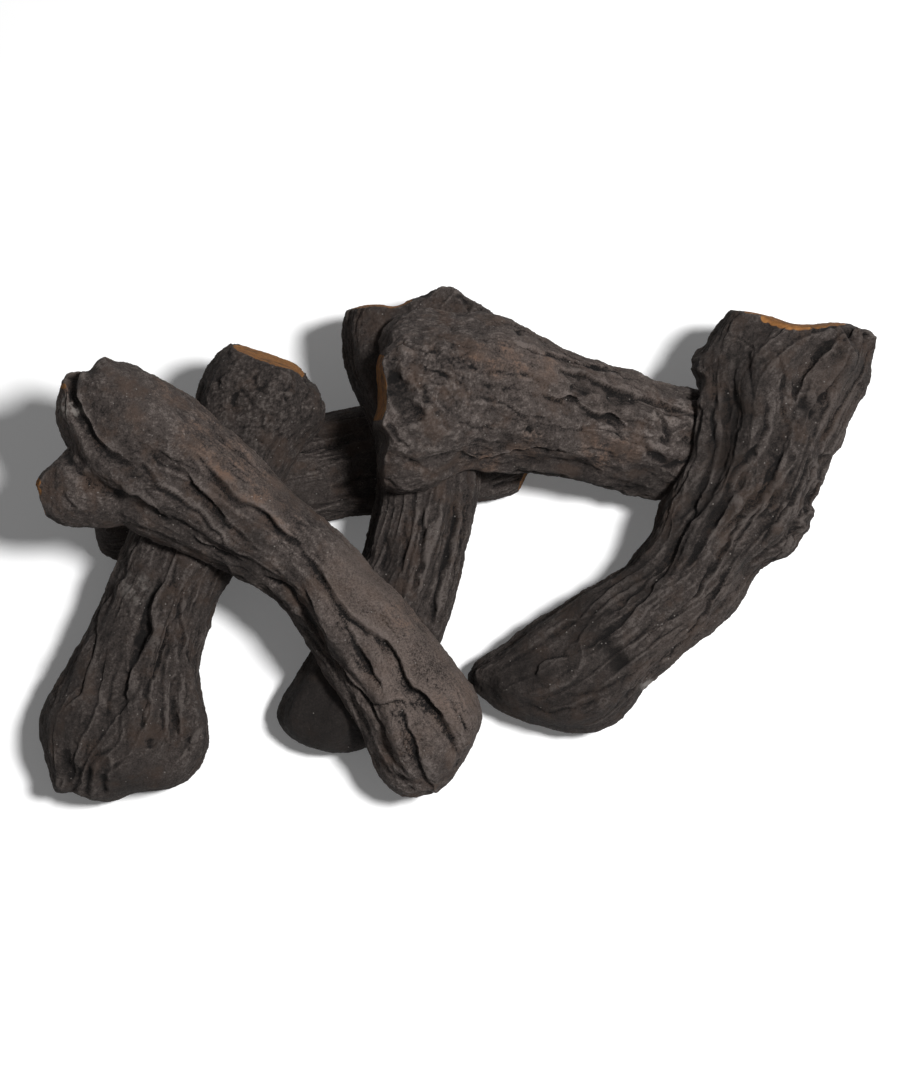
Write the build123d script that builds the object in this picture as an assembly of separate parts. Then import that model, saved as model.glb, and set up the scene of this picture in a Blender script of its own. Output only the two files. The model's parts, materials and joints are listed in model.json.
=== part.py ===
from build123d import *

import os
from dataclasses import dataclass
from math import acos, asin, atan2, cos, degrees, exp, hypot, pi, radians, sin

# Gas log set: six loose moulded ceramic logs, laid over each other on a hearth.
# Millimetres, +Z up, +X to the right and +Y to the back as the set is faced.
# The origin is the middle of the set's footprint, on the hearth.

# Each log's length, its width across the plain part, and its depth from sole to crown
rear_length = 192.0
rear_width = 52.0
rear_depth = 38.0
left_length = 213.0
left_width = 52.0
left_depth = 42.0
centre_length = 213.0
centre_width = 46.0
centre_depth = 42.0
front_length = 244.0
front_width = 48.0
front_depth = 44.0
top_length = 202.0
top_width = 60.0
top_depth = 48.0
right_length = 228.0
right_width = 52.0
right_depth = 44.0

# The sawn-off branch on the front log's head
branch_length = 59.0
branch_width = 38.0
branch_depth = 34.0

# How far the long bark ridges stand off each log
rear_ridge = 0.8
left_ridge = 1.0
centre_ridge = 1.2
front_ridge = 1.0
top_ridge = 0.9
right_ridge = 1.2
branch_ridge = 0.6

# How wide the valleys between the bark lobes are, and how deep they are on each log
valley_width = 4.5
rear_valley = 1.5
left_valley = 2.6
centre_valley = 2.8
front_valley = 3.4
top_valley = 2.6
right_valley = 2.8

# How deep the saddle in a log's underside sits over the log below it
left_saddle = 14.0
centre_saddle = 14.0
front_saddle_on_left = 14.0
front_saddle_on_centre = 16.0
top_saddle = 22.0
right_saddle = 14.0

# Free space round a log in the saddle above it, and how much a standing foot is ground flat
saddle_clearance = 0.6
foot_flat = 2.0

# How closely the set is measured to centre it over its origin
facet = 0.1

# Directions of the logs' axes in plan, from +X towards +Y
rear_heading = 12.0
left_heading = 71.0
centre_heading = 76.0
top_heading = 176.2
right_heading = 51.0

# A log's sections: (along its length, left edge, right edge, crown, sole), with the edges as
# shares of its width and the crown and sole as shares of its depth
rear_section_shares = (
    (0.00, 0.37, -0.14, 0.60, 0.12),
    (0.03, 0.50, -0.23, 0.84, 0.02),
    (0.10, 0.58, -0.27, 0.96, -0.06),
    (0.25, 0.63, -0.28, 1.00, -0.08),
    (0.50, 0.66, -0.28, 1.00, -0.08),
    (0.64, 0.68, -0.29, 1.00, -0.08),
    (0.79, 0.67, -0.32, 0.97, -0.08),
    (0.89, 0.65, -0.36, 0.93, -0.08),
    (0.95, 0.63, -0.39, 0.92, -0.08),
    (1.00, 0.60, -0.38, 0.90, -0.06),
    (1.07, 0.56, -0.36, 0.86, -0.04),
)
left_section_shares = (
    (0.00, 0.44, 0.10, 0.66, 0.06),
    (0.03, 0.62, -0.08, 0.86, 0.00),
    (0.06, 0.72, -0.32, 0.98, -0.02),
    (0.09, 0.79, -0.51, 1.04, -0.02),
    (0.14, 0.84, -0.62, 1.06, 0.00),
    (0.20, 0.81, -0.61, 1.04, 0.00),
    (0.25, 0.77, -0.50, 1.02, 0.00),
    (0.31, 0.73, -0.35, 1.00, 0.00),
    (0.40, 0.69, -0.28, 0.98, 0.00),
    (0.50, 0.67, -0.29, 0.98, 0.00),
    (0.65, 0.58, -0.42, 1.00, 0.00),
    (0.78, 0.50, -0.50, 1.04, -0.02),
    (0.87, 0.46, -0.57, 1.10, -0.06),
    (0.92, 0.48, -0.64, 1.12, -0.08),
    (0.96, 0.46, -0.58, 1.10, -0.08),
    (1.00, 0.37, -0.44, 1.04, -0.04),
    (1.07, 0.22, -0.28, 0.92, 0.00),
)
centre_section_shares = (
    (0.00, 0.04, -0.20, 0.48, 0.08),
    (0.01, 0.20, -0.38, 0.58, 0.02),
    (0.03, 0.34, -0.54, 0.68, 0.00),
    (0.05, 0.39, -0.64, 0.74, 0.00),
    (0.10, 0.37, -0.77, 0.80, 0.00),
    (0.15, 0.29, -0.86, 0.82, 0.00),
    (0.26, 0.13, -0.98, 0.88, 0.00),
    (0.37, -0.01, -1.03, 0.94, 0.00),
    (0.48, -0.06, -1.02, 0.98, 0.00),
    (0.56, -0.04, -1.02, 1.00, 0.00),
    (0.63, 0.04, -1.00, 1.00, 0.00),
    (0.71, 0.22, -0.93, 1.00, 0.00),
    (0.79, 0.50, -0.90, 1.04, -0.02),
    (0.84, 0.61, -0.89, 1.06, -0.04),
    (0.90, 0.69, -0.88, 1.06, -0.04),
    (0.96, 0.70, -0.82, 1.04, -0.02),
    (1.00, 0.67, -0.74, 1.00, 0.00),
    (1.07, 0.58, -0.60, 0.92, 0.02),
)
front_section_shares = (
    (0.00, 0.02, -0.26, 0.52, -0.02),
    (0.02, 0.16, -0.62, 0.76, -0.10),
    (0.05, 0.25, -0.84, 0.92, -0.14),
    (0.10, 0.24, -0.93, 1.02, -0.12),
    (0.18, 0.11, -0.96, 1.02, -0.06),
    (0.25, 0.04, -0.99, 1.00, 0.00),
    (0.33, -0.05, -1.00, 1.00, 0.00),
    (0.41, -0.12, -0.97, 1.00, 0.00),
    (0.50, -0.09, -0.96, 1.00, 0.00),
    (0.57, 0.04, -0.91, 1.02, 0.00),
    (0.64, 0.21, -0.89, 1.04, 0.00),
    (0.70, 0.36, -0.88, 1.08, 0.00),
    (0.77, 0.45, -0.84, 1.12, -0.02),
    (0.84, 0.46, -0.80, 1.12, -0.04),
    (0.90, 0.38, -0.71, 1.06, -0.02),
    (0.95, 0.28, -0.60, 0.96, 0.02),
    (0.98, 0.19, -0.48, 0.84, 0.10),
    (1.00, 0.06, -0.34, 0.68, 0.20),
)
branch_section_shares = (
    (0.00, 0.56, -0.56, 1.00, 0.00),
    (0.30, 0.56, -0.60, 0.98, 0.02),
    (0.50, 0.53, -0.58, 0.94, 0.04),
    (0.66, 0.48, -0.52, 0.88, 0.06),
    (0.80, 0.42, -0.42, 0.80, 0.08),
    (0.91, 0.34, -0.32, 0.70, 0.12),
    (0.98, 0.24, -0.24, 0.60, 0.18),
    (1.03, 0.14, -0.16, 0.50, 0.24),
)
top_section_shares = (
    (0.00, 0.27, -0.27, 0.58, 0.06),
    (0.03, 0.36, -0.40, 0.78, 0.00),
    (0.10, 0.41, -0.45, 0.88, -0.02),
    (0.21, 0.41, -0.46, 0.92, 0.00),
    (0.30, 0.41, -0.47, 0.94, 0.00),
    (0.36, 0.40, -0.50, 0.96, 0.00),
    (0.45, 0.37, -0.54, 1.00, 0.00),
    (0.54, 0.36, -0.60, 1.02, 0.00),
    (0.61, 0.37, -0.68, 1.06, 0.00),
    (0.69, 0.39, -0.77, 1.10, -0.04),
    (0.74, 0.44, -0.79, 1.12, -0.08),
    (0.79, 0.55, -0.77, 1.14, -0.12),
    (0.84, 0.65, -0.75, 1.14, -0.14),
    (0.90, 0.65, -0.70, 1.12, -0.14),
    (0.94, 0.57, -0.62, 1.07, -0.11),
    (0.97, 0.45, -0.51, 1.00, -0.06),
    (1.00, 0.34, -0.38, 0.92, 0.00),
    (1.03, 0.24, -0.28, 0.88, 0.04),
)
right_section_shares = (
    (0.00, 0.38, 0.08, 0.52, 0.06),
    (0.02, 0.46, -0.26, 0.72, 0.00),
    (0.05, 0.45, -0.54, 0.88, 0.00),
    (0.09, 0.38, -0.75, 0.96, 0.00),
    (0.13, 0.33, -0.84, 1.00, 0.00),
    (0.21, 0.23, -0.84, 1.02, 0.00),
    (0.29, 0.10, -0.89, 1.02, 0.00),
    (0.37, -0.04, -0.97, 1.00, 0.00),
    (0.46, -0.06, -1.03, 1.00, 0.00),
    (0.53, 0.04, -0.98, 1.00, 0.00),
    (0.60, 0.11, -1.09, 1.00, 0.00),
    (0.66, 0.23, -1.08, 1.02, 0.00),
    (0.71, 0.33, -1.00, 1.06, 0.00),
    (0.76, 0.44, -0.93, 1.08, -0.02),
    (0.82, 0.58, -0.87, 1.10, -0.04),
    (0.88, 0.64, -0.81, 1.10, -0.04),
    (0.94, 0.62, -0.76, 1.08, -0.02),
    (0.99, 0.58, -0.67, 1.02, 0.00),
    (1.05, 0.52, -0.52, 0.94, 0.02),
)

# The routes of a log's valleys along its crown: (along its length, across its half width),
# with the edges of the log at 1 and -1
rear_valley_shares = (
    ((0.38, 0.25), (0.60, 0.20), (0.80, 0.28)),
    ((0.40, -0.45), (0.62, -0.52), (0.82, -0.45)),
)
left_valley_shares = (
    ((0.20, 0.53), (0.24, 0.50), (0.30, 0.53), (0.34, 0.65), (0.40, 0.72), (0.47, 0.66)),
    ((0.23, -0.05), (0.28, -0.07), (0.33, -0.17), (0.36, -0.22), (0.40, -0.12), (0.50, -0.03)),
    ((0.16, -0.33), (0.20, -0.30), (0.27, -0.37), (0.32, -0.46), (0.38, -0.50), (0.42, -0.47)),
    ((0.19, -0.73), (0.23, -0.68), (0.28, -0.70)),
    ((0.04, 0.38), (0.07, 0.55), (0.10, 0.50)),
)
centre_valley_shares = (
    ((0.30, -0.80), (0.38, -0.66), (0.44, -0.72), (0.51, -0.78), (0.60, -0.70)),
    ((0.35, -0.24), (0.41, -0.30), (0.48, -0.20), (0.54, -0.07), (0.62, 0.00)),
    ((0.38, 0.47), (0.42, 0.45), (0.48, 0.53), (0.56, 0.50)),
    ((0.84, -0.15), (0.92, -0.12), (0.98, -0.25)),
)
front_valley_shares = (
    (
        (0.03, -0.28), (0.07, -0.20), (0.12, -0.16), (0.18, -0.02), (0.23, -0.14), (0.30, -0.03),
        (0.38, 0.14), (0.47, -0.05), (0.54, -0.10), (0.60, -0.24), (0.68, -0.20), (0.73, -0.30),
    ),
    (
        (0.10, 0.80), (0.15, 0.66), (0.21, 0.68), (0.28, 0.75), (0.32, 0.88), (0.40, 0.85),
        (0.48, 0.76), (0.54, 0.80), (0.61, 0.76), (0.70, 0.70), (0.75, 0.66),
    ),
    ((0.20, 0.42), (0.28, 0.38), (0.34, 0.28)),
    ((0.02, 0.62), (0.08, 0.45), (0.14, 0.35)),
    (
        (0.42, 0.53), (0.52, 0.45), (0.59, 0.33), (0.65, 0.17), (0.71, 0.05), (0.77, 0.10),
        (0.81, 0.07),
    ),
    ((0.77, 0.78), (0.81, 0.93), (0.88, 1.00), (0.92, 1.00)),
    ((0.80, 0.30), (0.85, 0.47), (0.90, 0.53), (0.95, 0.45), (0.98, 0.25)),
)
top_valley_shares = (
    ((0.27, -0.33), (0.33, -0.35), (0.39, -0.31), (0.45, -0.31), (0.50, -0.37), (0.56, -0.35)),
    ((0.38, 0.40), (0.43, 0.24), (0.50, 0.18), (0.56, 0.08), (0.62, 0.18)),
    ((0.40, 0.93), (0.50, 0.95), (0.60, 0.97), (0.70, 0.97)),
    ((0.88, 0.70), (0.91, 0.55), (0.94, 0.25), (0.96, -0.28)),
)
right_valley_shares = (
    (
        (0.41, -0.92), (0.47, -0.88), (0.55, -0.92), (0.63, -0.82), (0.69, -0.92), (0.74, -0.96),
        (0.79, -0.88),
    ),
    (
        (0.34, -0.55), (0.42, -0.42), (0.49, -0.42), (0.57, -0.38), (0.61, -0.36), (0.66, -0.47),
        (0.71, -0.57), (0.76, -0.57),
    ),
    (
        (0.40, 0.00), (0.49, -0.03), (0.56, -0.07), (0.61, 0.03), (0.65, 0.06), (0.69, -0.15),
        (0.76, -0.25), (0.81, -0.08),
    ),
    ((0.35, 0.35), (0.43, 0.38), (0.53, 0.34), (0.60, 0.46), (0.67, 0.44), (0.77, 0.53)),
    ((0.85, -0.30), (0.89, -0.30), (0.93, -0.34), (0.98, -0.50)),
    ((0.83, -0.56), (0.87, -0.58), (0.91, -0.60)),
)

# Over what share of a log's length a valley fades out at each end of its route
valley_fade_share = 0.06

# Where a log's widest point lies between its sole and its crown
waist_share = 0.38
# Squareness of a section: 1 is an ellipse, and less is boxier
crown_squareness_share = 0.92
sole_squareness_share = 0.70
section_points = 40

# Where the logs cross: shares of the lower log's length, of the upper one's own length and,
# for a log that stands on its foot, of its own width
left_on_rear_share = 0.337
left_seat_share = 0.735
left_seat_across_share = 0.03
centre_on_rear_share = 0.825
centre_seat_share = 0.70
centre_seat_across_share = -0.37
front_on_left_share = 0.647
front_upper_seat_share = 0.68
front_on_centre_share = 0.21
front_lower_seat_share = 0.264
top_on_centre_share = 0.738
top_seat_share = 0.82
top_seat_across_share = -0.07
right_on_top_share = 0.052
right_seat_share = 0.72
right_seat_across_share = -0.22

# How far each sawn face leans back from square; the top log's end and the rear log's overhang
rear_lean = -1.0
left_lean = 12.5
centre_lean = 13.0
centre_side_lean = 7.0
branch_lean = 4.0
top_lean = -9.0
right_lean = 14.0

# The branch's root on the front log, and the way it points from that log's own direction
branch_root_share = 0.77
branch_across_share = -0.29
branch_height_share = 0.16
branch_heading = 64.0
branch_rise = -6.0


@dataclass
class Cut:
    """A sawn end: where it crosses the log's crown, its slant in plan and its lean."""

    along_share: float
    across_share: float
    slant: float
    lean: float


@dataclass
class Log:
    """One moulded log in its own frame: X along it, Y across it, Z from its sole."""

    name: str
    length: float
    width: float
    depth: float
    ridge: float
    ridge_count: int
    ridge_turn: float
    section_shares: tuple
    cuts: tuple = ()
    valley: float = 0.0
    valley_shares: tuple = ()


@dataclass
class Seat:
    """Where a log lies: its foot's place, its heading in plan and its tilt."""

    x: float
    y: float
    z: float
    heading: float
    tilt: float

    def location(self):
        return Pos(self.x, self.y, self.z) * Rot(0, 0, self.heading) * Rot(0, -self.tilt, 0)


def row_at(log, share):
    """The log's section row at a share of its length, between the rows of its table."""
    rows = log.section_shares
    for low, high in zip(rows, rows[1:]):
        if low[0] <= share <= high[0]:
            part = (share - low[0]) / (high[0] - low[0])
            return tuple(a + part * (b - a) for a, b in zip(low, high))
    return rows[-1]


def ridge_height(log, half):
    """How far the bark ridges stand off where the log is so wide from middle to edge."""
    return log.ridge * half / (log.width / 2)


def route_across(route, share):
    """How far across its log a valley's route is, at a share of the log's length."""
    if share <= route[0][0]:
        return route[0][1]
    for low, high in zip(route, route[1:]):
        if share <= high[0]:
            part = (share - low[0]) / (high[0] - low[0])
            return low[1] + part * (high[1] - low[1])
    return route[-1][1]


def valley_depth(log, share, half, turn):
    """How deep the log's valleys are at a share of its length and a turn round its section."""
    deepest = 0.0
    for route in log.valley_shares:
        begun = (share - route[0][0]) / valley_fade_share + 1 / 2
        left_over = (route[-1][0] - share) / valley_fade_share + 1 / 2
        strength = max(0.0, min(1.0, begun, left_over))
        away = (turn - acos(route_across(route, share)) + pi) % (2 * pi) - pi
        strength = strength * exp(-((away * half / valley_width) ** 2))
        deepest = max(deepest, strength)
    return deepest * log.valley * half / (log.width / 2)


def section_wire(log, row):
    """The closed outline of the log at one row, with its ridges and valleys, from its crown."""
    share, left, right, crown, sole = row
    half = (left - right) / 2 * log.width
    middle = (left + right) / 2 * log.width
    low = sole * log.depth
    rise = (crown - sole) * log.depth
    waist = low + waist_share * rise
    points = []
    for k in range(section_points):
        turn = pi / 2 + 2 * pi * k / section_points
        wave = cos(log.ridge_count * turn + radians(log.ridge_turn) * share)
        ridge = ridge_height(log, half) * wave * (1 + sin(turn)) / 2
        if sin(turn) >= 0:
            power = crown_squareness_share
            reach = (1 - waist_share) * rise
        else:
            power = sole_squareness_share
            reach = waist_share * rise
        out = abs(cos(turn)) ** power * (half + ridge)
        up = abs(sin(turn)) ** power * (reach + ridge)
        kept = 1 - valley_depth(log, share, half, turn) / hypot(out, up)
        points.append(
            Vector(
                share * log.length,
                middle + (out if cos(turn) >= 0 else -out) * kept,
                waist + (up if sin(turn) >= 0 else -up) * kept,
            )
        )
    return Wire([Edge.make_spline(points, periodic=True)])


def log_body(log):
    """The whole log before its saddles: a loft through its sections, less its sawn ends."""
    body = Solid.make_loft([section_wire(log, row) for row in log.section_shares])
    for cut in log.cuts:
        row = row_at(log, cut.along_share)
        slant = radians(cut.slant)
        lean = radians(cut.lean)
        rim = Vector(
            cut.along_share * log.length,
            cut.across_share * log.width,
            row[3] * log.depth,
        )
        outward = Vector(cos(lean) * cos(slant), cos(lean) * sin(slant), sin(lean))
        body = body.split(Plane(origin=rim, z_dir=outward), keep=Keep.BOTTOM)
    return body


def relief_wire(log, row, shift):
    """A smooth arch round one row, with straight legs down, for the saddle above it."""
    share, left, right, crown, sole = row
    plain_half = (left - right) / 2 * log.width
    grow = ridge_height(log, plain_half) + saddle_clearance
    half = plain_half + grow
    middle = (left + right) / 2 * log.width
    low = sole * log.depth
    rise = (crown - sole) * log.depth
    waist = low + waist_share * rise
    reach = (1 - waist_share) * rise + grow
    x = share * log.length + shift
    arch = []
    for k in range(section_points // 2 + 1):
        turn = 2 * pi * k / section_points
        out = abs(cos(turn)) ** crown_squareness_share * half
        up = abs(sin(turn)) ** crown_squareness_share * reach
        arch.append(Vector(x, middle + (out if turn < pi / 2 else -out), waist + up))
    floor = low - log.depth
    left_leg = Vector(x, middle + half, floor)
    right_leg = Vector(x, middle - half, floor)
    return Wire(
        [
            Edge.make_spline(arch, tangents=(Vector(0, 0, 1), Vector(0, 0, -1))),
            Edge.make_line(arch[-1], right_leg),
            Edge.make_line(right_leg, left_leg),
            Edge.make_line(left_leg, arch[0]),
        ]
    )


def relief_body(log):
    """The space a log needs in whatever lies on it, open all the way down."""
    rows = log.section_shares
    wires = []
    for k, row in enumerate(rows):
        shift = 0.0
        if k == 0:
            shift = -saddle_clearance
        if k == len(rows) - 1:
            shift = saddle_clearance
        wires.append(relief_wire(log, row, shift))
    return Solid.make_loft(wires)


def resting_point(log, seat, share, saddle):
    """A point on a placed log's centre line, as far under its crown as the saddle over it is deep."""
    row = row_at(log, share)
    along = share * log.length
    across = (row[1] + row[2]) / 2 * log.width
    tilt = radians(seat.tilt)
    heading = radians(seat.heading)
    x = seat.x + along * cos(tilt) * cos(heading) - across * sin(heading)
    y = seat.y + along * cos(tilt) * sin(heading) + across * cos(heading)
    crown = seat.z + along * sin(tilt) + row[3] * log.depth * cos(tilt)
    return x, y, crown - saddle


def stand_on_foot(log, heading, share, across_share, rest):
    """Stand a log's foot on the hearth and lay one place of its underside on a point."""
    x, y, height = rest
    along = share * log.length
    tilt = asin((height + foot_flat) / along)
    across = across_share * log.width
    turn = radians(heading)
    foot_x = x - along * cos(tilt) * cos(turn) + across * sin(turn)
    foot_y = y - along * cos(tilt) * sin(turn) - across * cos(turn)
    return Seat(foot_x, foot_y, -foot_flat, heading, degrees(tilt))


def lie_across(log, low_share, low, high_share, high):
    """Lay a log over two others: each point is the plan place and the underside's height there."""
    low_row = row_at(log, low_share)
    high_row = row_at(log, high_share)
    low_across = (low_row[1] + low_row[2]) / 2 * log.width
    high_across = (high_row[1] + high_row[2]) / 2 * log.width
    span = hypot(high[0] - low[0], high[1] - low[1])
    tilt = atan2(high[2] - low[2], span)
    run = (high_share - low_share) * log.length * cos(tilt)
    heading = atan2(high[1] - low[1], high[0] - low[0]) - atan2(high_across - low_across, run)
    along = high_share * log.length
    foot_x = high[0] - along * cos(tilt) * cos(heading) + high_across * sin(heading)
    foot_y = high[1] - along * cos(tilt) * sin(heading) - high_across * cos(heading)
    foot_z = high[2] - along * sin(tilt)
    return Seat(foot_x, foot_y, foot_z, degrees(heading), degrees(tilt))


rear = Log(
    name="rear_log",
    length=rear_length,
    width=rear_width,
    depth=rear_depth,
    ridge=rear_ridge,
    ridge_count=6,
    ridge_turn=40.0,
    section_shares=rear_section_shares,
    valley=rear_valley,
    valley_shares=rear_valley_shares,
    cuts=(Cut(along_share=1.03, across_share=-0.34, slant=-36.0, lean=rear_lean),),
)
left = Log(
    name="left_log",
    length=left_length,
    width=left_width,
    depth=left_depth,
    ridge=left_ridge,
    ridge_count=7,
    ridge_turn=-60.0,
    section_shares=left_section_shares,
    valley=left_valley,
    valley_shares=left_valley_shares,
    cuts=(Cut(along_share=0.985, across_share=-0.09, slant=-2.0, lean=left_lean),),
)
centre = Log(
    name="centre_log",
    length=centre_length,
    width=centre_width,
    depth=centre_depth,
    ridge=centre_ridge,
    ridge_count=7,
    ridge_turn=30.0,
    section_shares=centre_section_shares,
    valley=centre_valley,
    valley_shares=centre_valley_shares,
    cuts=(
        Cut(along_share=0.955, across_share=0.25, slant=28.0, lean=centre_lean),
        Cut(along_share=1.0, across_share=-0.46, slant=-9.0, lean=centre_side_lean),
    ),
)
front = Log(
    name="front_log",
    length=front_length,
    width=front_width,
    depth=front_depth,
    ridge=front_ridge,
    ridge_count=6,
    ridge_turn=80.0,
    section_shares=front_section_shares,
    valley=front_valley,
    valley_shares=front_valley_shares,
)
branch = Log(
    name="front_log_branch",
    length=branch_length,
    width=branch_width,
    depth=branch_depth,
    ridge=branch_ridge,
    ridge_count=5,
    ridge_turn=20.0,
    section_shares=branch_section_shares,
    cuts=(Cut(along_share=1.0, across_share=0.0, slant=0.0, lean=branch_lean),),
)
top = Log(
    name="top_log",
    length=top_length,
    width=top_width,
    depth=top_depth,
    ridge=top_ridge,
    ridge_count=7,
    ridge_turn=-50.0,
    section_shares=top_section_shares,
    valley=top_valley,
    valley_shares=top_valley_shares,
    cuts=(Cut(along_share=0.975, across_share=-0.1, slant=10.0, lean=top_lean),),
)
right = Log(
    name="right_log",
    length=right_length,
    width=right_width,
    depth=right_depth,
    ridge=right_ridge,
    ridge_count=8,
    ridge_turn=60.0,
    section_shares=right_section_shares,
    valley=right_valley,
    valley_shares=right_valley_shares,
    cuts=(Cut(along_share=0.943, across_share=0.2, slant=30.0, lean=right_lean),),
)

# Lay the logs: the rear log lies flat, and every other log rests on those before it
rear_seat = Seat(0, 0, 0, rear_heading, 0)

left_rest = resting_point(rear, rear_seat, left_on_rear_share, left_saddle)
left_seat = stand_on_foot(
    left, left_heading, left_seat_share, left_seat_across_share, left_rest
)

centre_rest = resting_point(rear, rear_seat, centre_on_rear_share, centre_saddle)
centre_seat = stand_on_foot(
    centre, centre_heading, centre_seat_share, centre_seat_across_share, centre_rest
)

upper_rest = resting_point(left, left_seat, front_on_left_share, front_saddle_on_left)
lower_rest = resting_point(centre, centre_seat, front_on_centre_share, front_saddle_on_centre)
front_seat = lie_across(
    front, front_lower_seat_share, lower_rest, front_upper_seat_share, upper_rest
)

top_rest = resting_point(centre, centre_seat, top_on_centre_share, top_saddle)
top_seat = stand_on_foot(top, top_heading, top_seat_share, top_seat_across_share, top_rest)

right_rest = resting_point(top, top_seat, right_on_top_share, right_saddle)
right_seat = stand_on_foot(
    right, right_heading, right_seat_share, right_seat_across_share, right_rest
)


def front_body():
    """The front log with its sawn-off branch."""
    root = Pos(
        branch_root_share * front.length,
        branch_across_share * front.width,
        branch_height_share * front.depth,
    )
    turned = root * Rot(0, 0, branch_heading) * Rot(0, -branch_rise, 0)
    return log_body(front) + turned * log_body(branch)


def below_hearth():
    """A block that reaches from the hearth down, wider than all the logs end to end."""
    side = rear_length + left_length + centre_length + front_length + top_length + right_length
    return Pos(0, 0, -side / 2) * Box(side, side, side)


def meet_in_plan(one, other):
    """Whether two shapes' boxes overlap as seen from above."""
    a = one.bounding_box()
    b = other.bounding_box()
    across = a.min.X < b.max.X and b.min.X < a.max.X
    deep = a.min.Y < b.max.Y and b.min.Y < a.max.Y
    return across and deep


def lay_logs():
    """Every log in its place, with a saddle in its underside over each log laid before it."""
    laid = {}
    spaces = []
    for log, seat, body in (
        (rear, rear_seat, log_body(rear)),
        (left, left_seat, log_body(left)),
        (centre, centre_seat, log_body(centre)),
        (front, front_seat, front_body()),
        (top, top_seat, log_body(top)),
        (right, right_seat, log_body(right)),
    ):
        solid = seat.location() * body - below_hearth()
        for space in spaces:
            if meet_in_plan(solid, space):
                solid = solid - space
        laid[log.name] = solid
        spaces.append(seat.location() * relief_body(log))
    return laid


# Centre the set over its origin and write one file for each log
logs = lay_logs()
corners = [corner for solid in logs.values() for corner in solid.tessellate(facet)[0]]
middle_x = (min(c.X for c in corners) + max(c.X for c in corners)) / 2
middle_y = (min(c.Y for c in corners) + max(c.Y for c in corners)) / 2
centring = Pos(-middle_x, -middle_y, 0)
os.makedirs("parts", exist_ok=True)
for name, solid in logs.items():
    export_step(centring * solid, f"parts/{name}.step")
print("centring shift in mm:", round(centring.position.X, 2), round(centring.position.Y, 2))
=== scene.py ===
"""Charred ceramic logs of a gas fire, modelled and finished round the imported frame."""

import json
import logging
import math
from collections.abc import Callable
from dataclasses import dataclass, field
from enum import Enum

import bmesh
import bpy
import numpy as np
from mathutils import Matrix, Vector
from mathutils.bvhtree import BVHTree

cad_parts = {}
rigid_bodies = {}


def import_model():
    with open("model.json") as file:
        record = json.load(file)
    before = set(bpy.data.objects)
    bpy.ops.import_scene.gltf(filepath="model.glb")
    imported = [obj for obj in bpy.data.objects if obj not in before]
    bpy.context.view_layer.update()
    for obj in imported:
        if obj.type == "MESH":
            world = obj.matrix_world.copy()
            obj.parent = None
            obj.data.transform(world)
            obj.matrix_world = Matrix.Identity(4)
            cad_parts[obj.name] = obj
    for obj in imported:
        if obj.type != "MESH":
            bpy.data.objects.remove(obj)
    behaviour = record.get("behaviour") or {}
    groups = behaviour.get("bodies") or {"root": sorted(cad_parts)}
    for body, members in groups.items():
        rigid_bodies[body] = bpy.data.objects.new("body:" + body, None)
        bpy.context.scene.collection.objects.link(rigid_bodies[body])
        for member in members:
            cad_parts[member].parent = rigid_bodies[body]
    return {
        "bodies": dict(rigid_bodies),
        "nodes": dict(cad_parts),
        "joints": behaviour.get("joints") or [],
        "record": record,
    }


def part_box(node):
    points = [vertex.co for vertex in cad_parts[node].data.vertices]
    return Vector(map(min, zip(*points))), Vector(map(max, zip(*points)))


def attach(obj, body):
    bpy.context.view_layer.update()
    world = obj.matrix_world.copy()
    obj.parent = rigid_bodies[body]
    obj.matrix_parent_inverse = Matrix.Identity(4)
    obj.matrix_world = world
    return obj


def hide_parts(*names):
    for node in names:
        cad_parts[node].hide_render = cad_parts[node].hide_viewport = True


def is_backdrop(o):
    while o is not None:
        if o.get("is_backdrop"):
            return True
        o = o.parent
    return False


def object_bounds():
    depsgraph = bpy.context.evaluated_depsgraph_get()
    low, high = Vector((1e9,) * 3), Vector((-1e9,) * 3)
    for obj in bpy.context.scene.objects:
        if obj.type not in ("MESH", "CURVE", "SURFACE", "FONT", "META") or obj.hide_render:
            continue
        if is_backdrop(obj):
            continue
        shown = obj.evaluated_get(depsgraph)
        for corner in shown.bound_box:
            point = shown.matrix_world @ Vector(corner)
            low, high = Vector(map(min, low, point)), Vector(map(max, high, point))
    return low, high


LOG = logging.getLogger("gas_log_set")
MM = 0.001

Pixel = tuple[float, float]
Colour = tuple[float, float, float]
Span = tuple[float, float]
Socket = bpy.types.NodeSocket


class Form(Enum):
    """The cross-section of a mark in the bark."""

    GROOVE = "groove"
    CRACK = "crack"
    RIDGE = "ridge"
    PLATE = "plate"


class Raised(Enum):
    """Which side of a plate's edge stands up, as its line is followed in the picture."""

    LEFT = 1.0
    RIGHT = -1.0


class Stain(Enum):
    """The surface attributes that the finish reads."""

    # The relief: the finish paints shade where it is low and highlight where it is high.
    RELIEF = "relief"
    SAWN = "sawn"
    RINGS = "rings"
    PALE = "pale"
    DUST = "dust"
    # Painted shade and painted shadow: darkens flanks that face away from the lamp, deep grooves, and
    # places under other logs.
    SOOT = "painted_shade"
    RUST = "rust"
    TONE = "tone"


class Ground(Enum):
    """How the cast surface is in one place, where it isn't the log's usual bark."""

    SMOOTH = "smooth"
    PITTED = "pitted"
    COVERED = "covered"


class Layer(Enum):
    """The bark's noises that follow the log.

    Each holds its cell along the log and round it in mm, and a shift that keeps it apart
    from the others.
    """

    SWAY = (42.0, 22.0, 0.0)
    SWELL = (30.0, 16.0, 67.0)
    CREVICE_REACH = (34.0, 14.0, 57.0)
    CREST = (38.0, 5.0, 43.0)
    CREST_WOBBLE = (9.0, 7.0, 91.0)
    CREST_REACH = (20.0, 12.0, 83.0)
    CRACK = (17.0, 4.8, 71.0)
    FLAKE_DRIFT = (70.0, 15.0, 101.0)
    FLAKE_RAGS = (7.0, 5.0, 113.0)
    FLAKE_SIZE = (28.0, 12.0, 127.0)


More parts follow.
